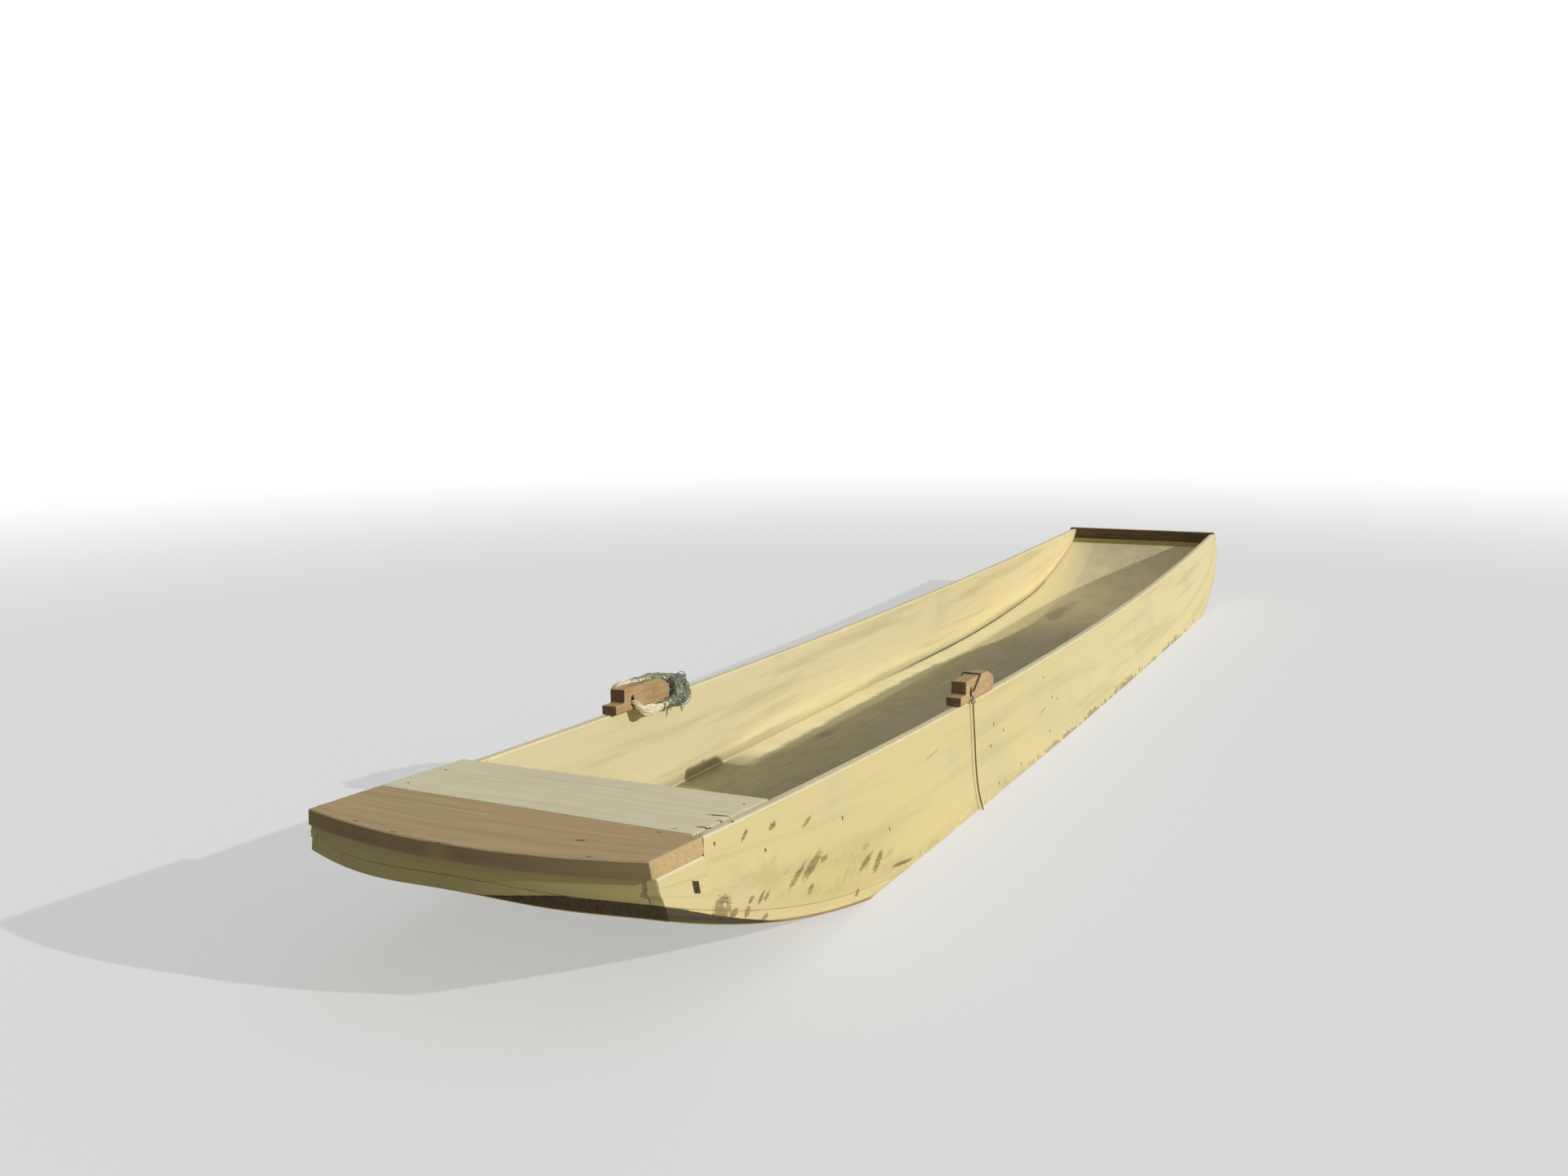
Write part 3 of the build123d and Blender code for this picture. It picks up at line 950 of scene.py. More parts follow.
def sternTransomBend(a, b, c):
    u = hull["length"] - c
    low = floorAt(u, hull["bottomThickness"] + gaps["seam"])
    high = sternLow - gaps["bow"]
    z = low + fit(b, sternTransom["size"][1], high - low, 0.003)
    edge = sideAt(u, z, hull["sideThickness"] + gaps["behind"])
    return -edge + fit(a, sternTransom["size"][0], 2 * edge), along(u), z


sternTransomPiece = makeBoard("stern_transom_painted", sternTransom, sternTransomBend)

# oar blocks


def carvedBlock(name, side, seed):  # sawn to its profile, bored, then worn round
    form = bmesh.new()
    low = [form.verts.new((x, y, 0)) for x, y in blocks["profile"]]
    face = form.faces.new(low)
    raised = bmesh.ops.extrude_face_region(form, geom=[face])["geom"]
    for vertex in (part for part in raised if isinstance(part, bmesh.types.BMVert)):
        vertex.co.z = blocks["width"]
    bmesh.ops.recalc_face_normals(form, faces=form.faces)
    solid = asObject(name, form)
    form = bmesh.new()
    bmesh.ops.create_cone(form, cap_ends=True, segments=24, radius1=1, radius2=1, depth=0.2)
    for vertex in form.verts:
        vertex.co.x = vertex.co.x * blocks["bore"][0] + blocks["hole"][0]
        vertex.co.y = vertex.co.y * blocks["bore"][1] + blocks["hole"][1]
    bore = asObject("bore", form)
    cut = solid.modifiers.new("bore", "BOOLEAN")
    cut.object = bore
    cut.solver = "EXACT"
    remesh = solid.modifiers.new("remesh", "REMESH")
    remesh.mode = "VOXEL"
    remesh.voxel_size = blocks["voxel"]
    soften = solid.modifiers.new("soften", "SMOOTH")
    soften.iterations = 6
    soften.factor = 0.5
    bpy.context.view_layer.update()
    worked = solid.evaluated_get(bpy.context.evaluated_depsgraph_get())
    mesh = bpy.data.meshes.new_from_object(worked)
    points, grain, plainSpots = [], [], []
    for vertex in mesh.vertices:
        spot = vertex.co.copy()
        plainSpots.append(tuple(spot))
        rough = lump(spot.x * 14, spot.y * 45, spot.z * 45 + seed)
        rough += 0.5 * lump(spot.x * 60, spot.y * 160, spot.z * 160 + seed)
        spot -= vertex.normal * blocks["worn"] * (rough + 0.6)
        grain.append(spot + Vector((seed, seed * 0.3, 0)))
        points.append(onBlock(side, spot.x, spot.z, spot.y))
    faces = [tuple(face.vertices) for face in mesh.polygons]
    bpy.data.objects.remove(solid)
    bpy.data.objects.remove(bore)
    bpy.data.meshes.remove(mesh)
    return makeMesh(name, points, faces, grain, board=plainSpots)


blockPieces = {side: carvedBlock("oar_block_" + word + "_wood", side, 4.0 + side)
               for side, word in ((1, "right"), (-1, "left"))}
print("boards and blocks made")

# small things on the planks

studs = {
    "radius": 0.0034, "proud": 0.0009, "sunk": 0.0006, "sides": 10,
    "right": (
        (2.204, 0.268), (2.291, 0.231), (2.141, 0.211), (2.41, 0.091), (2.156, 0.086),
        (2.828, 0.306), (2.889, 0.224), (2.95, 0.206), (2.794, 0.121), (0.258, 0.411),
        (0.486, 0.333), (0.93, 0.293), (1.214, 0.189)),
    "left": (
        (0.262, 0.405), (0.51, 0.33), (0.95, 0.285), (1.6, 0.24), (2.07, 0.27), (2.33, 0.19),
        (2.9, 0.3), (3.6, 0.22), (4.4, 0.26), (5.2, 0.24)),
    "deck": (
        (0.384, 0.394), (0.447, 0.362), (0.428, 0.286), (-0.405, 0.31), (-0.41, 0.47),
        (0.40, 0.52)),
}


def nailHeads(name, places, slot):  # low domes, each from its middle and the way that it faces
    points, faces, board = [], [], []
    count = studs["sides"]
    for seed, (middle, away) in enumerate(places):
        one = away.orthogonal().normalized()
        two = away.cross(one)
        start = len(points)
        for share, rise in ((1, -studs["sunk"]), (0.94, 0.0004), (0.55, studs["proud"])):
            for k in range(count):
                angle = 2 * math.pi * k / count
                reach = studs["radius"] * share * (1 + 0.12 * lump(k * 0.9, seed * 3.1, 0))
                points.append(middle + spoke(one, two, angle) * reach + away * rise)
        points.append(middle + away * studs["proud"] * 1.1)
        points.append(middle - away * studs["sunk"])
        for ring in (0, 1):
            ringFaces(faces, start + ring * count, count)
        top = start + 3 * count
        for k in range(count):
            following = (k + 1) % count
            faces.append((top - count + k, top - count + following, top))
            faces.append((start + following, start + k, top + 1))
        board += [(seed * 0.7, 0, 0)] * (3 * count + 2)
    return dress(makeMesh(name, points, faces, board, board=board), nailFinish, slot)


def onSide(side, u, z, proud=0.0):
    away = Vector((side * cosLean, 0, math.sin(math.radians(hull["lean"]))))
    return Vector((side * sideAt(u, z), along(u), z)) + away * proud, away


pitch = {
    "from": 0.64, "to": 6.25, "step": 0.02, "radius": 0.005, "ends": 0.0016, "off": 0.0015,
    "dark": 0.75,
}


def pitchBead(name, side, seed):  # runs along the corner between a side and the bottom
    line, u = [], pitch["from"]
    while u < pitch["to"]:
        z = chineAt(u, side, hull["bottomThickness"], hull["sideThickness"])
        x = sideAt(u, z, hull["sideThickness"])
        line.append(Vector((side * (x - pitch["off"]), along(u), z + pitch["off"])))
        u += pitch["step"]
    length = lengthOf(line)

    def radiusAt(travelled, angle):
        share = travelled / length
        swell = min(1.0, 0.45 + 2.2 * share) if share < 0.25 else min(1.0, (1 - share) / 0.3)
        worn = 1 + 0.35 * lump(travelled * 9, seed, angle * 0.3)
        return (pitch["ends"] + (pitch["radius"] - pitch["ends"]) * swell) * worn

    return dress(tubePiece(name, line, radiusAt, 10, seed), pitchFinish, "bottom_boards")


peg = {
    "at": (0.1475, 0.346), "half": (0.0135, 0.0135), "turn": -17, "proud": 0.0012,
    "sunk": 0.004, "outline": (
        (-1, -1), (-0.2, -1.04), (1, -1), (1.03, 0.3), (1, 1), (0.1, 0.97), (-1, 1),
        (-0.97, -0.2)),
}


def pegEnd(name, side):  # the end of a square peg through the plank by the bow
    points, faces, board = [], [], []
    turn = math.radians(peg["turn"])
    for share, proud in ((1.0, -peg["sunk"]), (1.0, 0.4 * peg["proud"]), (0.88, peg["proud"])):
        for i, j in peg["outline"]:
            p, q = i * peg["half"][0] * share, j * peg["half"][1] * share
            u = peg["at"][0] + p * math.cos(turn)
            z = peg["at"][1] + p * math.sin(turn) + q
            points.append(onSide(side, u, z, proud)[0])
            board.append((p, q, 0))
    count = len(peg["outline"])
    for ring in (0, count):
        ringFaces(faces, ring, count)
    faces.append(tuple(range(count - 1, -1, -1)))
    faces.append(tuple(range(2 * count, 3 * count)))
    piece = makeMesh(name, points, faces, board, smooth=False, board=board)
    return dress(piece, pegFinish, "block_wood")


# finishes


def looks(**table):  # three whole numbers are a colour as it is seen
    return {word: srgb(*value) if isinstance(value, tuple) and isinstance(value[0], int) else value
            for word, value in table.items()}


# byDeck is painted light on the top edge by the deck; ends and endLeft are painted shade on the
# fore ends and transoms
paint = looks(
    fore=(223, 204, 142), aft=(226, 211, 155), inside=(246, 231, 178), even=(253, 237, 190),
    band=(200, 184, 130), worn=(212, 198, 150), grey=(192, 188, 154), wood=(172, 146, 92),
    darkWood=(132, 108, 62), pink=(222, 192, 152), lowFore=(206, 185, 122), cloudy=(194, 178, 124),
    knotRing=(226, 212, 168), grit=(160, 150, 116), slime=(142, 128, 78), below=(112, 108, 66),
    handled=(250, 238, 194), bareTop=(186, 162, 118), byDeck=(238, 229, 190), ends=(164, 152, 94),
    endFoot=(190, 176, 120), endLeft=(168, 170, 130), rust=(132, 98, 56), roughness=0.58)
# flakes of paint gone to the wood: place along and up, half length, half height, turn
flakes = {
    "right": ((0.618, 0.232, 0.047, 0.0045, 16), (0.711, 0.232, 0.055, 0.0068, 14),
              (0.781, 0.229, 0.019, 0.0035, 3), (0.679, 0.183, 0.018, 0.004, 18),
              (1.021, 0.152, 0.043, 0.0042, 12), (1.098, 0.132, 0.039, 0.006, 23),
              (1.265, 0.081, 0.058, 0.0026, -7), (1.228, 0.087, 0.037, 0.0022, -4),
              (0.375, 0.25, 0.014, 0.0032, 11), (0.425, 0.24, 0.021, 0.0032, 23),
              (0.452, 0.234, 0.016, 0.0028, 19), (0.285, 0.246, 0.019, 0.0046, 10),
              (0.347, 0.23, 0.016, 0.0046, 20), (0.42, 0.193, 0.017, 0.0032, 6),
              (0.238, 0.271, 0.038, 0.0135, 8), (0.4, 0.391, 0.017, 0.003, 24),
              (0.542, 0.375, 0.018, 0.004, 9), (0.724, 0.336, 0.025, 0.003, 12),
              (0.935, 0.097, 0.014, 0.0035, 16)),
    "left": ((0.55, 0.24, 0.04, 0.005, 12), (0.66, 0.22, 0.05, 0.005, 14),
             (0.93, 0.17, 0.045, 0.004, 10), (1.3, 0.12, 0.03, 0.005, 6),
             (0.3, 0.27, 0.02, 0.006, 9), (2.2, 0.16, 0.05, 0.003, 0)),
    "longer": 1.12, "higher": 1.8, "tear": 2.3,
}
scuffs = {
    "right": ((0.889, 0.157, 0.033, 0.004, 26), (1.173, 0.13, 0.036, 0.0032, 9),
              (1.037, 0.187, 0.025, 0.0068, 2), (0.572, 0.257, 0.019, 0.0022, 13),
              (2.75, 0.2, 0.05, 0.003, 4), (1.62, 0.3, 0.06, 0.0025, 3)),
    "left": ((1.1, 0.25, 0.05, 0.003, 8), (3.4, 0.2, 0.08, 0.003, 0),
             (5.0, 0.25, 0.05, 0.004, -8)),
}


class Paint:  # the cream paint on a board; the colour and what the marks do to it
    def __init__(self, finish, inner):
        self.finish, self.spot = finish, finish.spot()
        self.x, y, self.z = finish.split(self.spot)
        self.u = y + hull["middle"]
        self.flat = finish.node("CombineXYZ", None, {0: self.u, 1: self.z})
        grain = finish.attribute("grain")
        self.bands = finish.noise(grain * (0.42, 7, 3), 2.2, 4, 0.6)
        self.streaks = finish.noise(grain * (1.3, 48, 48), 2.0, 4, 0.62)
        fibres = finish.noise(grain * (6, 480, 480), 1.0, 2)
        clouds = finish.noise(self.spot, 2.3, 4, 0.6)
        colour = finish.layers(paint["fore"], (self.u, 0.2, 6.2, 1, paint["aft"]))
        self.colour = finish.layers(
            finish.mix(inner, colour, paint["inside"]),
            (self.bands, 0.46, 0.70, 0.6, paint["band"]),
            (self.streaks, 0.48, 0.8, 0.4, paint["worn"]),
            (clouds, 0.5, 0.8, 0.35, paint["grey"]), (fibres, 0.55, 0.9, 0.25, paint["band"]))
        self.height = self.streaks * 0.5 + fibres * 0.25
        rough = paint["roughness"]
        self.roughness = finish.fade(self.bands, 0.3, 0.8, rough, rough + 0.14)

    def lay(self, share, colour, lower=0.0, rougher=0.2):  # another colour over part of it
        self.colour = self.finish.mix(share, self.colour, colour)
        self.height = self.height - share * lower
        self.roughness = self.roughness + share * rougher

    def ragged(self, marks, tear):
        edge = self.finish.noise(self.flat * (75, 190, 1), 1.0, 4, 0.75)
        torn = self.finish.noise(self.flat * (190, 520, 1), 1.0, 3, 0.6)
        away = self.finish.nearest(self.flat, marks)
        away = away + (edge - 0.5) * tear + (torn - 0.5) * tear * 0.7
        return self.finish.fall(away, 0.95, 1.03)

    def flaked(self, marks):
        wide = [(x, y, flakes["longer"] * half, flakes["higher"] * height, turn)
                for x, y, half, height, turn in marks]
        return self.ragged(wide, flakes["tear"])

    def woodColour(self):
        return self.finish.layers(paint["darkWood"], (self.streaks, 0.35, 0.65, 1, paint["wood"]))

    def foreEnds(self, a):  # painted shade on the ends of the planks that face forward
        faces = self.finish.fade(self.finish.facing(1), -0.45, -0.75)
        self.lay(faces * self.finish.fade(a, 0.06, 0.04, 0.0, 1.0) * 0.8, paint["ends"])

    def finishOff(self, strength, distance):
        return self.finish.finishOff(self.colour, self.roughness, self.height, strength, distance)


def paintedSide(name, word):
    finish = newFinish(name)
    fade, fall, nearest = finish.fade, finish.fall, finish.nearest
    a, b, c = finish.split(finish.attribute("board"))
    inner = fade(c, 0.3 * hull["sideThickness"], 0.9 * hull["sideThickness"])
    outer = 1 - inner
    coat = Paint(finish, inner)
    lay, u, z, flat = coat.lay, coat.u, coat.z, coat.flat
    wear = finish.noise(coat.spot, 38, 4, 0.65)
    # the inner faces are cleaner and more even
    even = fade(coat.bands, 0.35, 0.7, 0.6, 0.3) * fade(u, 2.8, 5.0, 1.0, 0.3)
    lay(inner * even, paint["even"])
    # small flakes over the low fore part
    zone = fall(nearest(flat, ((0.78, 0.2, 0.62, 0.075, -14),)), 0.55, 1.1)
    specks = finish.noise(flat * (26, 95, 1), 1.0, 2, 0.5)
    lay(fade(specks, 0.70, 0.74) * zone * outer * 0.8, coat.woodColour(), 0.4)
    lay(coat.ragged(scuffs[word], 0.9) * outer * 0.55, paint["worn"], 0.1)
    lay(coat.ragged(scuffs[word], 1.6) * outer * 0.5, coat.woodColour(), 0.3)
    lay(fall(z, 0.13, 0.33, 0.6) * fall(u, 0.7, 1.6) * outer, paint["lowFore"])
    cloudy = finish.noise(flat * (7, 16, 1), 1.0, 4, 0.6)
    lay(fade(cloudy, 0.46, 0.66) * zone * outer * 0.6, paint["cloudy"])
    lay(coat.flaked(flakes[word]) * outer * 0.9, coat.woodColour(), 0.8)
    # the pale ring of a knot, and the wood rubbed bare by the deck's corner
    knot = nearest(flat, ((0.254, 0.274, 0.0068, 0.0062, 0),))
    lay(fall(knot, 0.75, 1.0) * outer, paint["knotRing"], -0.2)
    rubbed = nearest(flat, ((0.62, 0.428, 0.075, 0.02, -6),)) + (wear - 0.5) * 1.2
    lay(fall(rubbed, 0.7, 1.1, 0.7), paint["pink"], 0.1)
    # grease and grit along the foot of the inner face, and a tide mark outside
    lay(fall(b + (coat.bands - 0.5) * 0.09, 0.0, 0.055, 0.75) * inner, paint["grit"], 0.0, 0.1)
    level = hull["waterline"]
    jagged = finish.noise(flat * (16, 22, 1), 1.0, 5, 0.7)
    tide = fall(z - level - (jagged - 0.46) * 0.16, 0.0, 0.006)
    lay(tide * outer * fade(u, 2.2, 3.1, 0.2, 0.72), paint["slime"], 0.0, 0.1)
    lay(fall(z, level - 0.012, level + 0.004, 0.65) * outer, paint["below"], 0.0, -0.1)
    # the top edge is handled grey and pale, and by the deck it is painted paler still: painted
    # light on its upward face
    width = sidePlank["size"][1]
    top = fade(b, width - 0.006, width - 0.001)
    lay(top * fade(wear, 0.35, 0.7, 0.5, 0.9), paint["handled"], 0.0, 0.05)
    lay(top * fade(wear, 0.64, 0.74) * 0.5, paint["bareTop"], 0.3)
    lay(top * fall(u, 0.5, 0.6, 0.9), paint["byDeck"])
    # painted shade on the plank's fore end
    coat.foreEnds(a)
    rusted = nearest(flat, [(x, y - 0.002, 0.0065, 0.008, 0) for x, y in studs[word]])
    lay(fall(rusted, 0.35, 1.15, 0.55) * outer, paint["rust"])
    return coat.finishOff(0.45, 0.0012)


def paintedEnd(name):
    finish = newFinish(name)
    coat = Paint(finish, 0.0)
    a, b, c = finish.split(finish.attribute("board"))
    wear = finish.noise(coat.spot, 30, 4, 0.65)
    coat.lay(finish.fall(b + (wear - 0.5) * 0.02, 0.0, 0.02, 0.25), paint["endFoot"], 0.1)
    # the transoms are painted darker all over, and the bow transom darker still towards its left:
    # painted shade
    coat.lay(finish.fade(coat.bands, 0.4, 0.7, 0.75, 0.95), paint["ends"])
    coat.lay(finish.fade(coat.x, 0.35, -0.45, 0.0, 0.35), paint["endLeft"])
    return coat.finishOff(0.45, 0.0012)


# margin is painted sunlight and arris painted reflected light
floorLook = looks(
    light=(178, 173, 140), mid=(161, 157, 127), worn=(152, 147, 120), fine=(148, 138, 108),
    margin=(255, 247, 205), ramp=(250, 236, 192), stain=(128, 120, 94), bare=(76, 62, 36),
    bareDark=(54, 44, 26), arris=(168, 150, 74), line=(146, 100, 58), slime=(116, 108, 66),
    slimeDark=(88, 86, 52), joint=(140, 130, 100),
    stains=((5.68, -0.21, 0.22, 0.05, 4), (2.78, -0.35, 0.1, 0.02, 0), (3.9, 0.1, 0.3, 0.05, 3),
            (1.5, 0.05, 0.25, 0.09, -5), (4.7, 0.2, 0.12, 0.05, 0)))


def bottomBoard(name):
    finish = newFinish(name)
    fade, fall, mix, layers = finish.fade, finish.fall, finish.mix, finish.layers
    a, b, c = finish.split(finish.attribute("board"))
    coat = Paint(finish, 0.0)
    lay, u = coat.lay, coat.u
    facing = finish.facing(2)
    wear = finish.noise(coat.spot, 9, 5, 0.65)
    fine = finish.noise(coat.spot, 42, 4, 0.6)
    # the worn floor inside, paler up the ramp to the stern; a pale strip along its left margin, as
    # far in as the right side's shadow, is painted sunlight
    inside = fade(c, 0.6 * hull["bottomThickness"], 0.97 * hull["bottomThickness"])
    inside = inside * fade(facing, 0.35, 0.6)
    trodden = layers(
        floorLook["light"], (coat.streaks, 0.35, 0.7, 1, floorLook["mid"]),
        (wear, 0.46, 0.68, 0.5, floorLook["worn"]), (fine, 0.6, 0.75, 0.25, floorLook["fine"]))
    reach = fade(u, 4.0, 5.6, 0.405, 0.25)
    margin = fade(coat.x + reach + (wear - 0.5) * 0.05, 0.0, -0.035)
    margin = margin * fade(wear, 0.3, 0.7, 1.0, 0.85) * fade(u, 2.2, 2.5)
    trodden = mix(margin, trodden, floorLook["margin"])
    trodden = mix(fade(u, 4.9, 5.9) * fade(wear, 0.3, 0.7, 1.0, 0.75), trodden, floorLook["ramp"])
    stains = finish.nearest(finish.node("CombineXYZ", None, {0: u, 1: coat.x}), floorLook["stains"])
    stains = stains + (wear - 0.5) * 3.2 + (fine - 0.5) * 1.2
    lay(inside, mix(fall(stains, 0.3, 1.4, 0.55), trodden, floorLook["stain"]), 0.0, 0.15)
    # bare wood low on the fore ends, from near the middle to the right corner and along the side
    outside = 1 - inside
    band = fade(coat.x, 0.02, 0.30) * finish.node("MapRange", None, {
        "Value": u, "From Min": 0.02, "From Max": 0.56, "To Min": 0.033, "To Max": 0.0})
    # painted shade on the fore-facing ends
    coat.foreEnds(a)
    bareBand = fade(band - c + (fine - 0.5) * 0.004, 0.0, 0.002) * fade(facing, -0.8, -0.45)
    low = [mark for mark in flakes["right"] if mark[1] < 0.28]
    lay(coat.flaked(low) * outside * fade(coat.x, 0.3, 0.32) * 0.9, coat.woodColour(), 0.8)
    dark = layers(floorLook["bare"], (coat.streaks, 0.35, 0.65, 1, floorLook["bareDark"]))
    lay(bareBand * outside, dark, 0.3, 0.25)
    # a yellowish line on the lower arris at the bow: painted reflected light
    arris = fall(c, 0.0012, 0.0026) * fall(u, 0.5, 0.7)
    lay(arris * outside * fade(coat.x, -0.1, 0.1), floorLook["arris"])
    line = fall(c, 0.004, 0.008) * fade(u, 0.38, 0.5) * fall(u, 1.1, 1.4)
    lay(line * outside * fade(facing, -0.9, -0.6) * 0.8, floorLook["line"], 0.2)
    # slime as far up as the floating level
    level = hull["waterline"]
    slime = layers(floorLook["slime"], (wear, 0.4, 0.65, 1, floorLook["slimeDark"]))
    lay(fall(coat.z, level - 0.02, level + 0.012, 0.75) * outside, slime, 0.0, -0.1)
    # joints between the planks
    joint = fall(finish.lesser(b, bottom["inner"] - b), 0.001, 0.004, 0.1)
    lay(joint * inside, floorLook["joint"])
    return coat.finishOff(0.5, 0.0015)


# front and sternFront are painted shade for upright faces
bare = looks(
    light=(200, 174, 127), mid=(182, 156, 110), dark=(148, 122, 80), warm=(197, 164, 118),
    front=(116, 97, 64), sternFront=(38, 35, 28), end=(208, 180, 122), endGrain=(186, 157, 104),
    rubbed=(208, 184, 140), heart=(86, 66, 44),
    knots=((0.231, 0.058, 0.014, 0.0065, 20), (0.313, -0.044, 0.010, 0.004, 10),
           (-0.285, -0.041, 0.010, 0.0035, 5), (-0.024, -0.101, 0.012, 0.0035, 0),
           (-0.157, -0.078, 0.010, 0.003, 0), (0.346, 0.198, 0.008, 0.003, 0)),
    noKnots=((9, 9, 1, 1, 0),))


def bareWood(name, knots=(), frontColour=bare["front"], frontIs=0.0):
    finish = newFinish(name)
    fade, fall, mix = finish.fade, finish.fall, finish.mix
    spot, grain = finish.spot(), finish.attribute("grain")
    a, b, c = finish.split(finish.attribute("board"))
    pull = finish.nearest(finish.flat(spot), knots or bare["noKnots"])
    near = fall(pull, 0.8, 4.5)
    figure = finish.noise(grain * (1.1, 20, 20) + near * 0.35, 2.0, 5, 0.62, 0.6)
    lines = finish.noise(grain * (3.0, 190, 190) + near * 0.5, 1.0, 4, 0.62)
    broad = finish.noise(grain * (0.7, 6, 6), 2.0, 3, 0.5)
    colour = finish.layers(
        bare["light"], (figure, 0.38, 0.66, 1, bare["mid"]), (broad, 0.42, 0.62, 0.6, bare["warm"]),
        (lines, 0.52, 0.75, 0.4, bare["dark"]), (figure, 0.64, 0.78, 0.5, bare["dark"]))
    # upright faces near the front edge, and on the stern board and cleat all upright faces, are
    # painted darker: painted shade
    upright = fall(finish.facing(2), 0.25, 0.75)
    front = upright * fade(b, 0.02, 0.05, 1.0, frontIs)
    frontColour = finish.layers(frontColour, (lines, 0.4, 0.7, 0.4, bare["dark"]))
    colour = mix(front * 0.85, colour, frontColour)
    speckle = finish.noise(spot, 160, 3, 0.6)
    endColour = finish.layers(bare["end"], (speckle, 0.4, 0.7, 1, bare["endGrain"]))
    colour = mix(fade(finish.facing(0), 0.6, 0.8) * 0.8, colour, endColour)
    rubbed = fall(finish.attribute("edge", "Fac") + (lines - 0.5) * 0.006, 0.0005, 0.004, 0.55)
    colour = mix(rubbed * (1 - front * 0.6), colour, bare["rubbed"])
    heart = fall(pull + (lines - 0.5) * 0.6, 0.6, 1.05) * (1 - upright)
    if knots:
        colour = mix(heart, mix(near * 0.35, colour, bare["mid"]), bare["heart"])
    height = lines * 0.6 + figure * 0.3 - heart * 0.4
    return finish.finishOff(colour, fade(figure, 0.3, 0.7, 0.72, 0.84), height, 0.5, 0.0016)


grey = looks(
    light=(247, 238, 198), mid=(239, 230, 190), streak=(217, 208, 170), line=(196, 189, 156),
    bare=(190, 172, 134), crack=(70, 62, 45), below=(170, 146, 110), belowDark=(140, 118, 86),
    cracks=((0.396, 0.396, 0.03, 0.0062, 10), (0.424, 0.356, 0.018, 0.0045, 0),
            (0.415, 0.284, 0.024, 0.006, 5), (0.361, 0.244, 0.01, 0.0025, 60)),
    lines=((0.19, 0.379, 0.2, 0.0035, -1), (-0.2, 0.432, 0.18, 0.003, 3),
           (0.02, 0.52, 0.28, 0.003, 1), (-0.05, 0.3, 0.22, 0.0025, 2)))


def greyWood(name):
    finish = newFinish(name)
    fade, fall, mix = finish.fade, finish.fall, finish.mix
    spot, grain = finish.spot(), finish.attribute("grain")
    flat = finish.flat(spot)
    figure = finish.noise(grain * (1.0, 24, 24), 2.0, 5, 0.6)
    lines = finish.noise(grain * (2.4, 210, 210), 1.0, 4, 0.62)
    clouds = finish.noise(spot, 6, 4, 0.6)
    colour = finish.layers(
        grey["light"], (figure, 0.36, 0.7, 1, grey["mid"]),
        (lines, 0.5, 0.78, 0.25, grey["streak"]), (clouds, 0.5, 0.75, 0.3, grey["streak"]))
    long = finish.nearest(flat, grey["lines"]) + (lines - 0.5) * 1.6
    colour = mix(fall(long, 0.3, 1.2, 0.55), colour, grey["line"])
    edge = finish.attribute("edge", "Fac")
    colour = mix(fall(edge + (lines - 0.5) * 0.008, 0.0005, 0.0045, 0.6), colour, grey["bare"])
    cracks = fall(finish.nearest(flat, grey["cracks"]) + (lines - 0.5) * 0.9, 0.7, 1.05)
    colour = mix(cracks, colour, grey["crack"])
    below = finish.layers(grey["below"], (figure, 0.4, 0.6, 1, grey["belowDark"]))
    colour = mix(fall(finish.facing(2), -0.6, 0.2, 0.8), colour, below)
    height = lines * 0.5 + figure * 0.3 - cracks * 0.8
    return finish.finishOff(colour, fade(figure, 0.3, 0.7, 0.6, 0.75), height, 0.45, 0.0014)


# in sawn, end, hole and aft are painted shade
sawn = looks(
    light=(206, 172, 124), mid=(186, 152, 104), line=(150, 116, 76), grime=(146, 114, 74),
    end=(100, 74, 50), seat=(96, 76, 50), hole=(52, 40, 26), aft=(74, 62, 50))


def blockWood(name, darker=0.0):
    finish = newFinish(name)
    fade, fall, mix = finish.fade, finish.fall, finish.mix
    grain = finish.attribute("grain")
    a, b, c = finish.split(finish.attribute("board"))
    figure = finish.noise(grain * (4, 40, 40), 2.0, 4, 0.6, 0.4)
    lines = finish.noise(grain * (12, 330, 330), 1.0, 4, 0.6)
    grime = finish.noise(grain, 24, 4, 0.6)
    colour = finish.layers(
        sawn["light"], (figure, 0.35, 0.65, 1, sawn["mid"]), (lines, 0.52, 0.75, 0.4, sawn["line"]),
        (grime, 0.52, 0.74, 0.4, sawn["grime"]))
    # the fore-facing end is painted darker: painted shade
    colour = mix(fall(finish.facing(1), -0.85, -0.6) * 0.8, colour, sawn["end"])
    colour = mix(fall(b, 0.001, 0.006, 0.45), colour, sawn["seat"])
    # painted shade in and round the mouth of the bore
    x, y = blocks["hole"]
    hole = finish.nearest(finish.node("CombineXYZ", None, {0: a, 1: b}),
                          ((x, y + 0.004, 0.0105, 0.017, 0),))
    colour = mix(fall(hole, 0.8, 1.25, 0.9), colour, sawn["hole"])
    # painted shade, with a little dirt, over the aft part of the block under the netting
    if darker:
        aft = fade(a + (grime - 0.5) * 0.05, 0.14, 0.18, 0.0, darker)
        colour = mix(aft, colour, sawn["aft"])
    height = lines * 0.5 + figure * 0.5
    return finish.finishOff(colour, fade(figure, 0.3, 0.7, 0.68, 0.82), height, 0.6, 0.0016)


ropeLooks = {  # light, dark and dirty, and how coarse
    "white_rag": ((252, 243, 212), (232, 218, 178), (214, 196, 150), 0.5),
    "old_netting": ((192, 196, 172), (146, 152, 130), (122, 118, 94), 1.0),
    "dark_twine": ((112, 92, 56), (72, 58, 34), (52, 42, 28), 1.0),
    "brown_twine": ((146, 122, 76), (104, 84, 50), (80, 64, 40), 1.0),
    "pale_twine": ((218, 200, 160), (170, 148, 108), (120, 100, 70), 1.0),
}


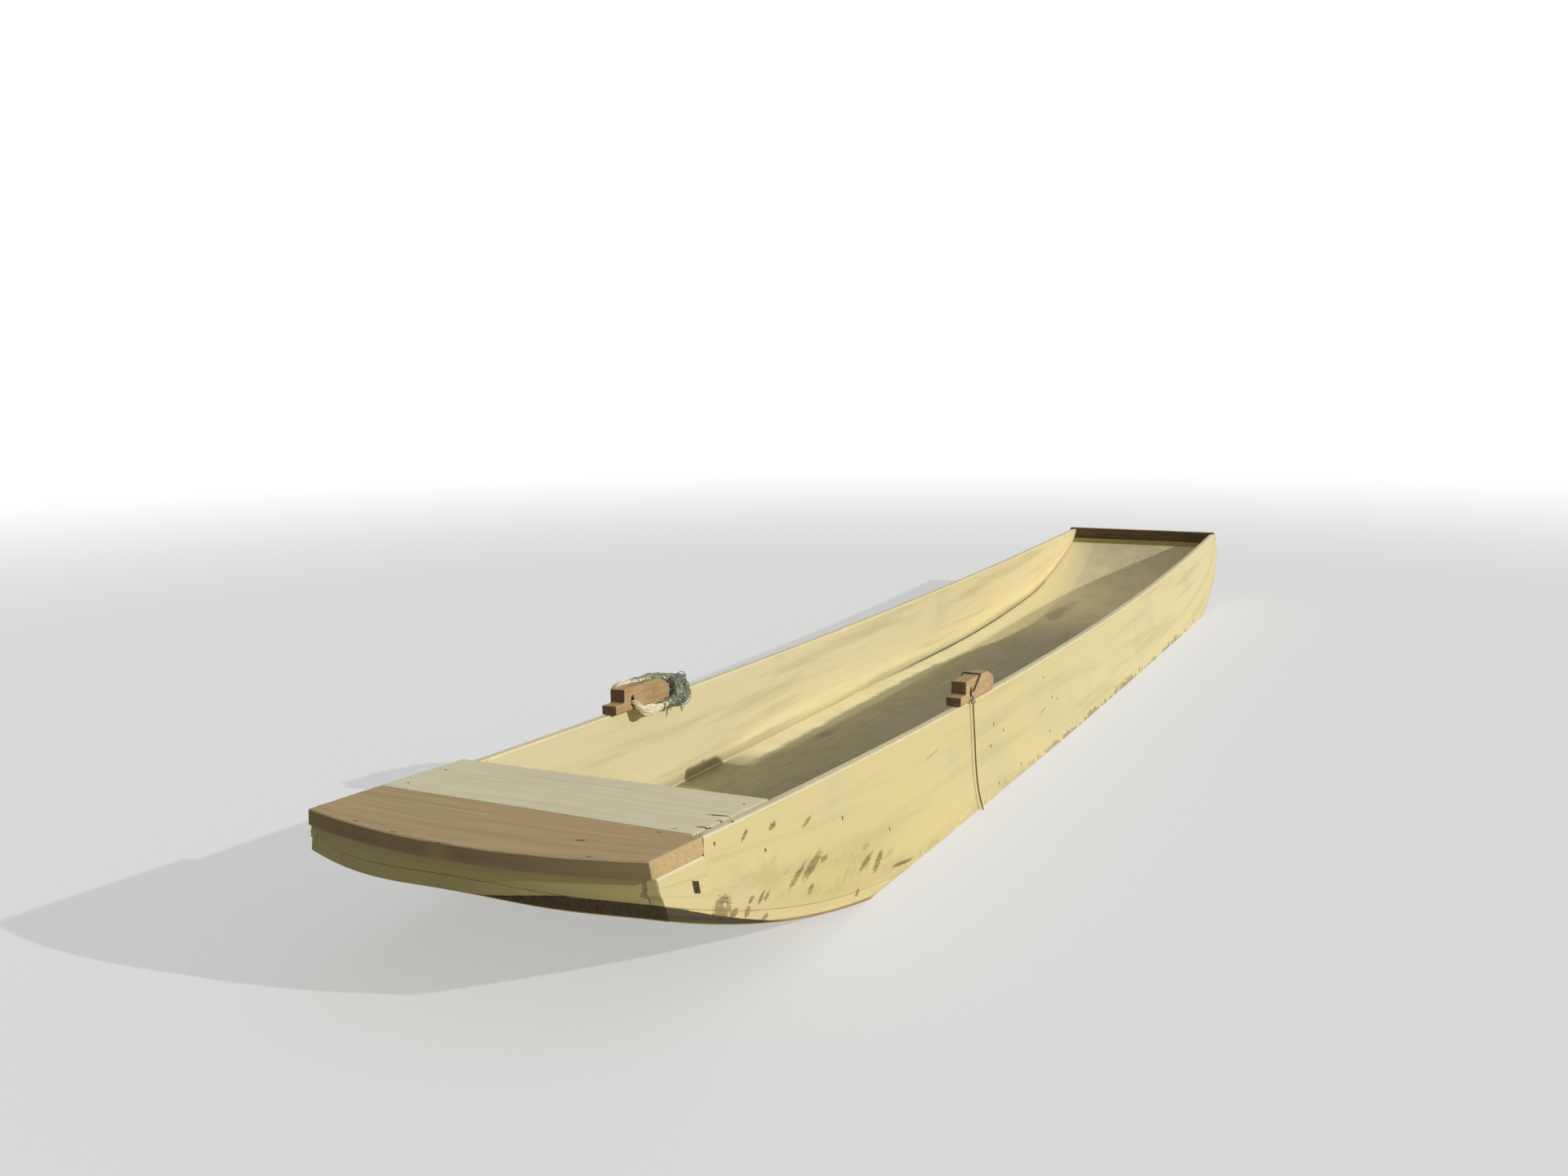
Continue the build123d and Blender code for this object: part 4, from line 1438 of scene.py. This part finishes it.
def twisted(name):  # rope, twine and netting
    finish = newFinish(name)
    *seen, scale = ropeLooks[name]
    light, dark, dirty = (srgb(*colour) for colour in seen)
    grain = finish.attribute("grain")
    strand = finish.noise(finish.split(grain)[2] * (3.7, 1.9, 0.7), 1.0, 0)
    fibres = finish.noise(grain * (60 * scale, 900 * scale, 1), 1.0, 4, 0.6)
    dirt = finish.noise(finish.spot(), 45 * scale, 4, 0.6)
    colour = finish.layers(light, (fibres, 0.35, 0.65, 1, dark), (strand, 0.45, 0.6, 0.5, dark),
                           (dirt, 0.5, 0.7, 0.6, dirty))
    return finish.finishOff(colour, 0.85, fibres + dirt * 0.5, 0.7, 0.0012)


smallLooks = {  # light and dark, how fine the mottle is, and the least roughness
    "pitch": ((118, 110, 88), (82, 76, 60), 60, 0.5),
    "rusty_iron": ((98, 66, 40), (54, 38, 28), 260, 0.6),
    "dark_peg_wood": ((74, 58, 34), (44, 34, 20), 140, 0.75),
}
overpaint = srgb(222, 205, 156)  # on the pitch, as far as the ramp to the stern


def mottled(name, painted=False, **fixed):  # pitch, nails and the peg
    finish = newFinish(name)
    light, dark, scale, roughness = smallLooks[name]
    mottle = finish.noise(finish.spot(), scale, 5, 0.65)
    colour = finish.layers(srgb(*light), (mottle, 0.35, 0.65, 1, srgb(*dark)))
    if painted:
        y = finish.split(finish.spot())[1]
        fore = finish.fall(y, pitch["dark"] - 0.4, pitch["dark"] + 0.4, 0.92)
        colour = finish.mix(fore, colour, overpaint)
    return finish.finishOff(colour, finish.fade(mottle, 0.3, 0.7, roughness, roughness + 0.2),
                            mottle, 0.6, 0.001, **fixed)


endFinish = paintedEnd("cream_paint_ends")
bottomFinish = bottomBoard("worn_floor_paint")
# the stern board and cleat get painted shade on all their upright faces
bareFinish = bareWood("bare_wood", (), bare["sternFront"], 1.0)
ragFinish, netFinish, twineFinish, tailFinish, knotFinish = [twisted(name) for name in ropeLooks]
pitchFinish = mottled("pitch", True)
nailFinish = mottled("rusty_iron", Metallic=0.5)
pegFinish = mottled("dark_peg_wood")
print("finishes made")

for piece, word in zip(sides, ("right", "left")):
    dress(piece, paintedSide("cream_paint_" + word, word), "painted_sides", "side_plank_" + word)
for piece, word in zip(floorBoards, ("far_left", "left", "right", "far_right")):
    dress(piece, bottomFinish, "bottom_boards", "bottom_plank_" + word)
# the left block gets painted shade over its aft part
for side, word, darker in ((1, "right", 0.0), (-1, "left", 0.12)):
    blockFinish = blockWood("block_wood_" + word, darker)
    dress(blockPieces[side], blockFinish, "block_wood", "oar_block_" + word)
dress(bowBoardPiece, bareWood("bare_bow_wood", bare["knots"]), "bare_boards", "bow_board")
dress(deckBoardPiece, greyWood("old_grey_paint"), "grey_deck", "deck_board")
dress(cleatPiece, bareFinish, "grey_deck", "deck_cleat")
dress(bowTransomPiece, endFinish, "painted_sides", "bow_transom")
dress(sternBoardPiece, bareFinish, "bare_boards", "stern_board")
dress(sternTransomPiece, endFinish, "painted_sides", "stern_transom")
dress(stropPiece, ragFinish, "rope", "strop_left")
dress(ragFoldsPiece, ragFinish, "rope")
dress(wrapPiece, netFinish, "netting", "strop_wrap_left")
dress(tailPiece, tailFinish, "twine", "cord_tail_right")
dress(tailKnotPiece, tailFinish, "twine")
dress(paleKnotPiece, knotFinish, "twine")
dress(lashingPiece, twineFinish, "twine", "lashing_right")
for side, word in ((1, "right"), (-1, "left")):
    nailHeads("side_nails_" + word, [onSide(side, u, z) for u, z in studs[word]], "painted_sides")
deckUp = deckTurn @ Vector((0, 0, 1))
deckPlaces = [(Vector((x, along(u), deckAt(u, x))), deckUp) for x, u in studs["deck"]]
nailHeads("deck_nails", deckPlaces, "grey_deck")
for side, word, seed in ((-1, "left", 1.7), (1, "right", 4.2)):
    pitchBead("pitch_bead_" + word, side, seed)
pegEnd("bow_peg_right", 1)
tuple(stropMarks[0])
lengthOf(stropMarks)
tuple(tailMarks[0])
lengthOf(tailMarks)

# floor, light and background

ground = {
    "reach": 60.0, "colour": srgb(238, 238, 236), "paleNear": 0.45, "fadeFrom": 4.0, "fadeTo": 13.0,
    "steps": 120, "search": (0.5, 0.005, 1200), "inside": 0.013, "above": 0.012,
}


def floorHole():  # the hull's outline where it meets the floor, inside the planks
    level, outline = hull["waterline"], []
    fromU, step, count = ground["search"]
    for side in (1, -1):
        low = [u for u in (fromU + i * step for i in range(count))
               if chineAt(u, side, ground["above"]) < level]
        row = []
        for i in range(ground["steps"] + 1):
            u = low[0] + (low[-1] - low[0]) * i / ground["steps"]
            row.append(Vector((side * (sideAt(u, level) - ground["inside"]), along(u), level)))
        outline += row if side > 0 else row[::-1]
    return outline


ring = floorHole()
middle = Vector((0, 0, hull["waterline"]))
points, faces = list(ring), []
for point in ring:
    points.append(middle + Vector((point.x, point.y, 0)).normalized() * ground["reach"])
ringFaces(faces, 0, len(ring))
floorPiece = makeMesh("floor", points, faces, smooth=False)
floorFinish = newFinish("floor")
spot = floorFinish.node("TexCoord", output="Object")
distance = floorFinish.node("VectorMath", {"operation": "LENGTH"}, {0: spot}, "Value")
pale = floorFinish.fade(distance, ground["fadeFrom"], ground["fadeTo"], ground["paleNear"], 1.0)
matt = floorFinish.node("BsdfDiffuse", None, {"Color": ground["colour"]})
white = floorFinish.node("Emission", None, {"Color": (1, 1, 1, 1), "Strength": 1.0})
seen = pale * floorFinish.backdropSeen()
surface = floorFinish.node("MixShader", None, {"Fac": seen, 1: matt, 2: white})
floorFinish.node("OutputMaterial", None, {"Surface": surface})
floorPiece.data.materials.append(floorFinish.owner)

light = {
    "towards": (0.93, 0.02, 0.37), "strength": 1.95, "softness": 0.8, "sky": 0.40, "shade": 0.05,
    "shadeFrom": (-0.78, -0.6, -0.15), "shadeEdge": (-0.35, 0.65),
}
sunData = bpy.data.lights.new("key", "SUN")
sunData.energy = light["strength"]
sunData.angle = math.radians(light["softness"])
sun = bpy.data.objects.new("key", sunData)
sun.rotation_euler = Vector(light["towards"]).to_track_quat("Z", "Y").to_euler()
bpy.context.collection.objects.link(sun)

sky = Finish(bpy.data.worlds.new("studio"))
bpy.context.scene.world = sky.owner
looking = sky.node("TexCoord", output="Generated")
away = sky.node("VectorMath", {"operation": "DOT_PRODUCT"},
                {0: looking, 1: light["shadeFrom"]}, "Value")
bright = sky.node("Background", None, {"Color": (1, 1, 1, 1), "Strength": light["sky"]})
dull = sky.node("Background", None, {"Color": (1, 1, 1, 1), "Strength": light["shade"]})
dim = sky.node("MixShader", None, {"Fac": sky.fade(away, *light["shadeEdge"]), 1: bright, 2: dull})
white = sky.node("Background", None, {"Color": (1, 1, 1, 1), "Strength": 1.0})
seen = sky.node("MixShader", None, {"Fac": sky.backdropSeen(), 1: dim, 2: white})
sky.node("OutputWorld", None, {"Surface": seen})

bpy.context.scene.view_settings.view_transform = "Standard"
print("stage and light made")
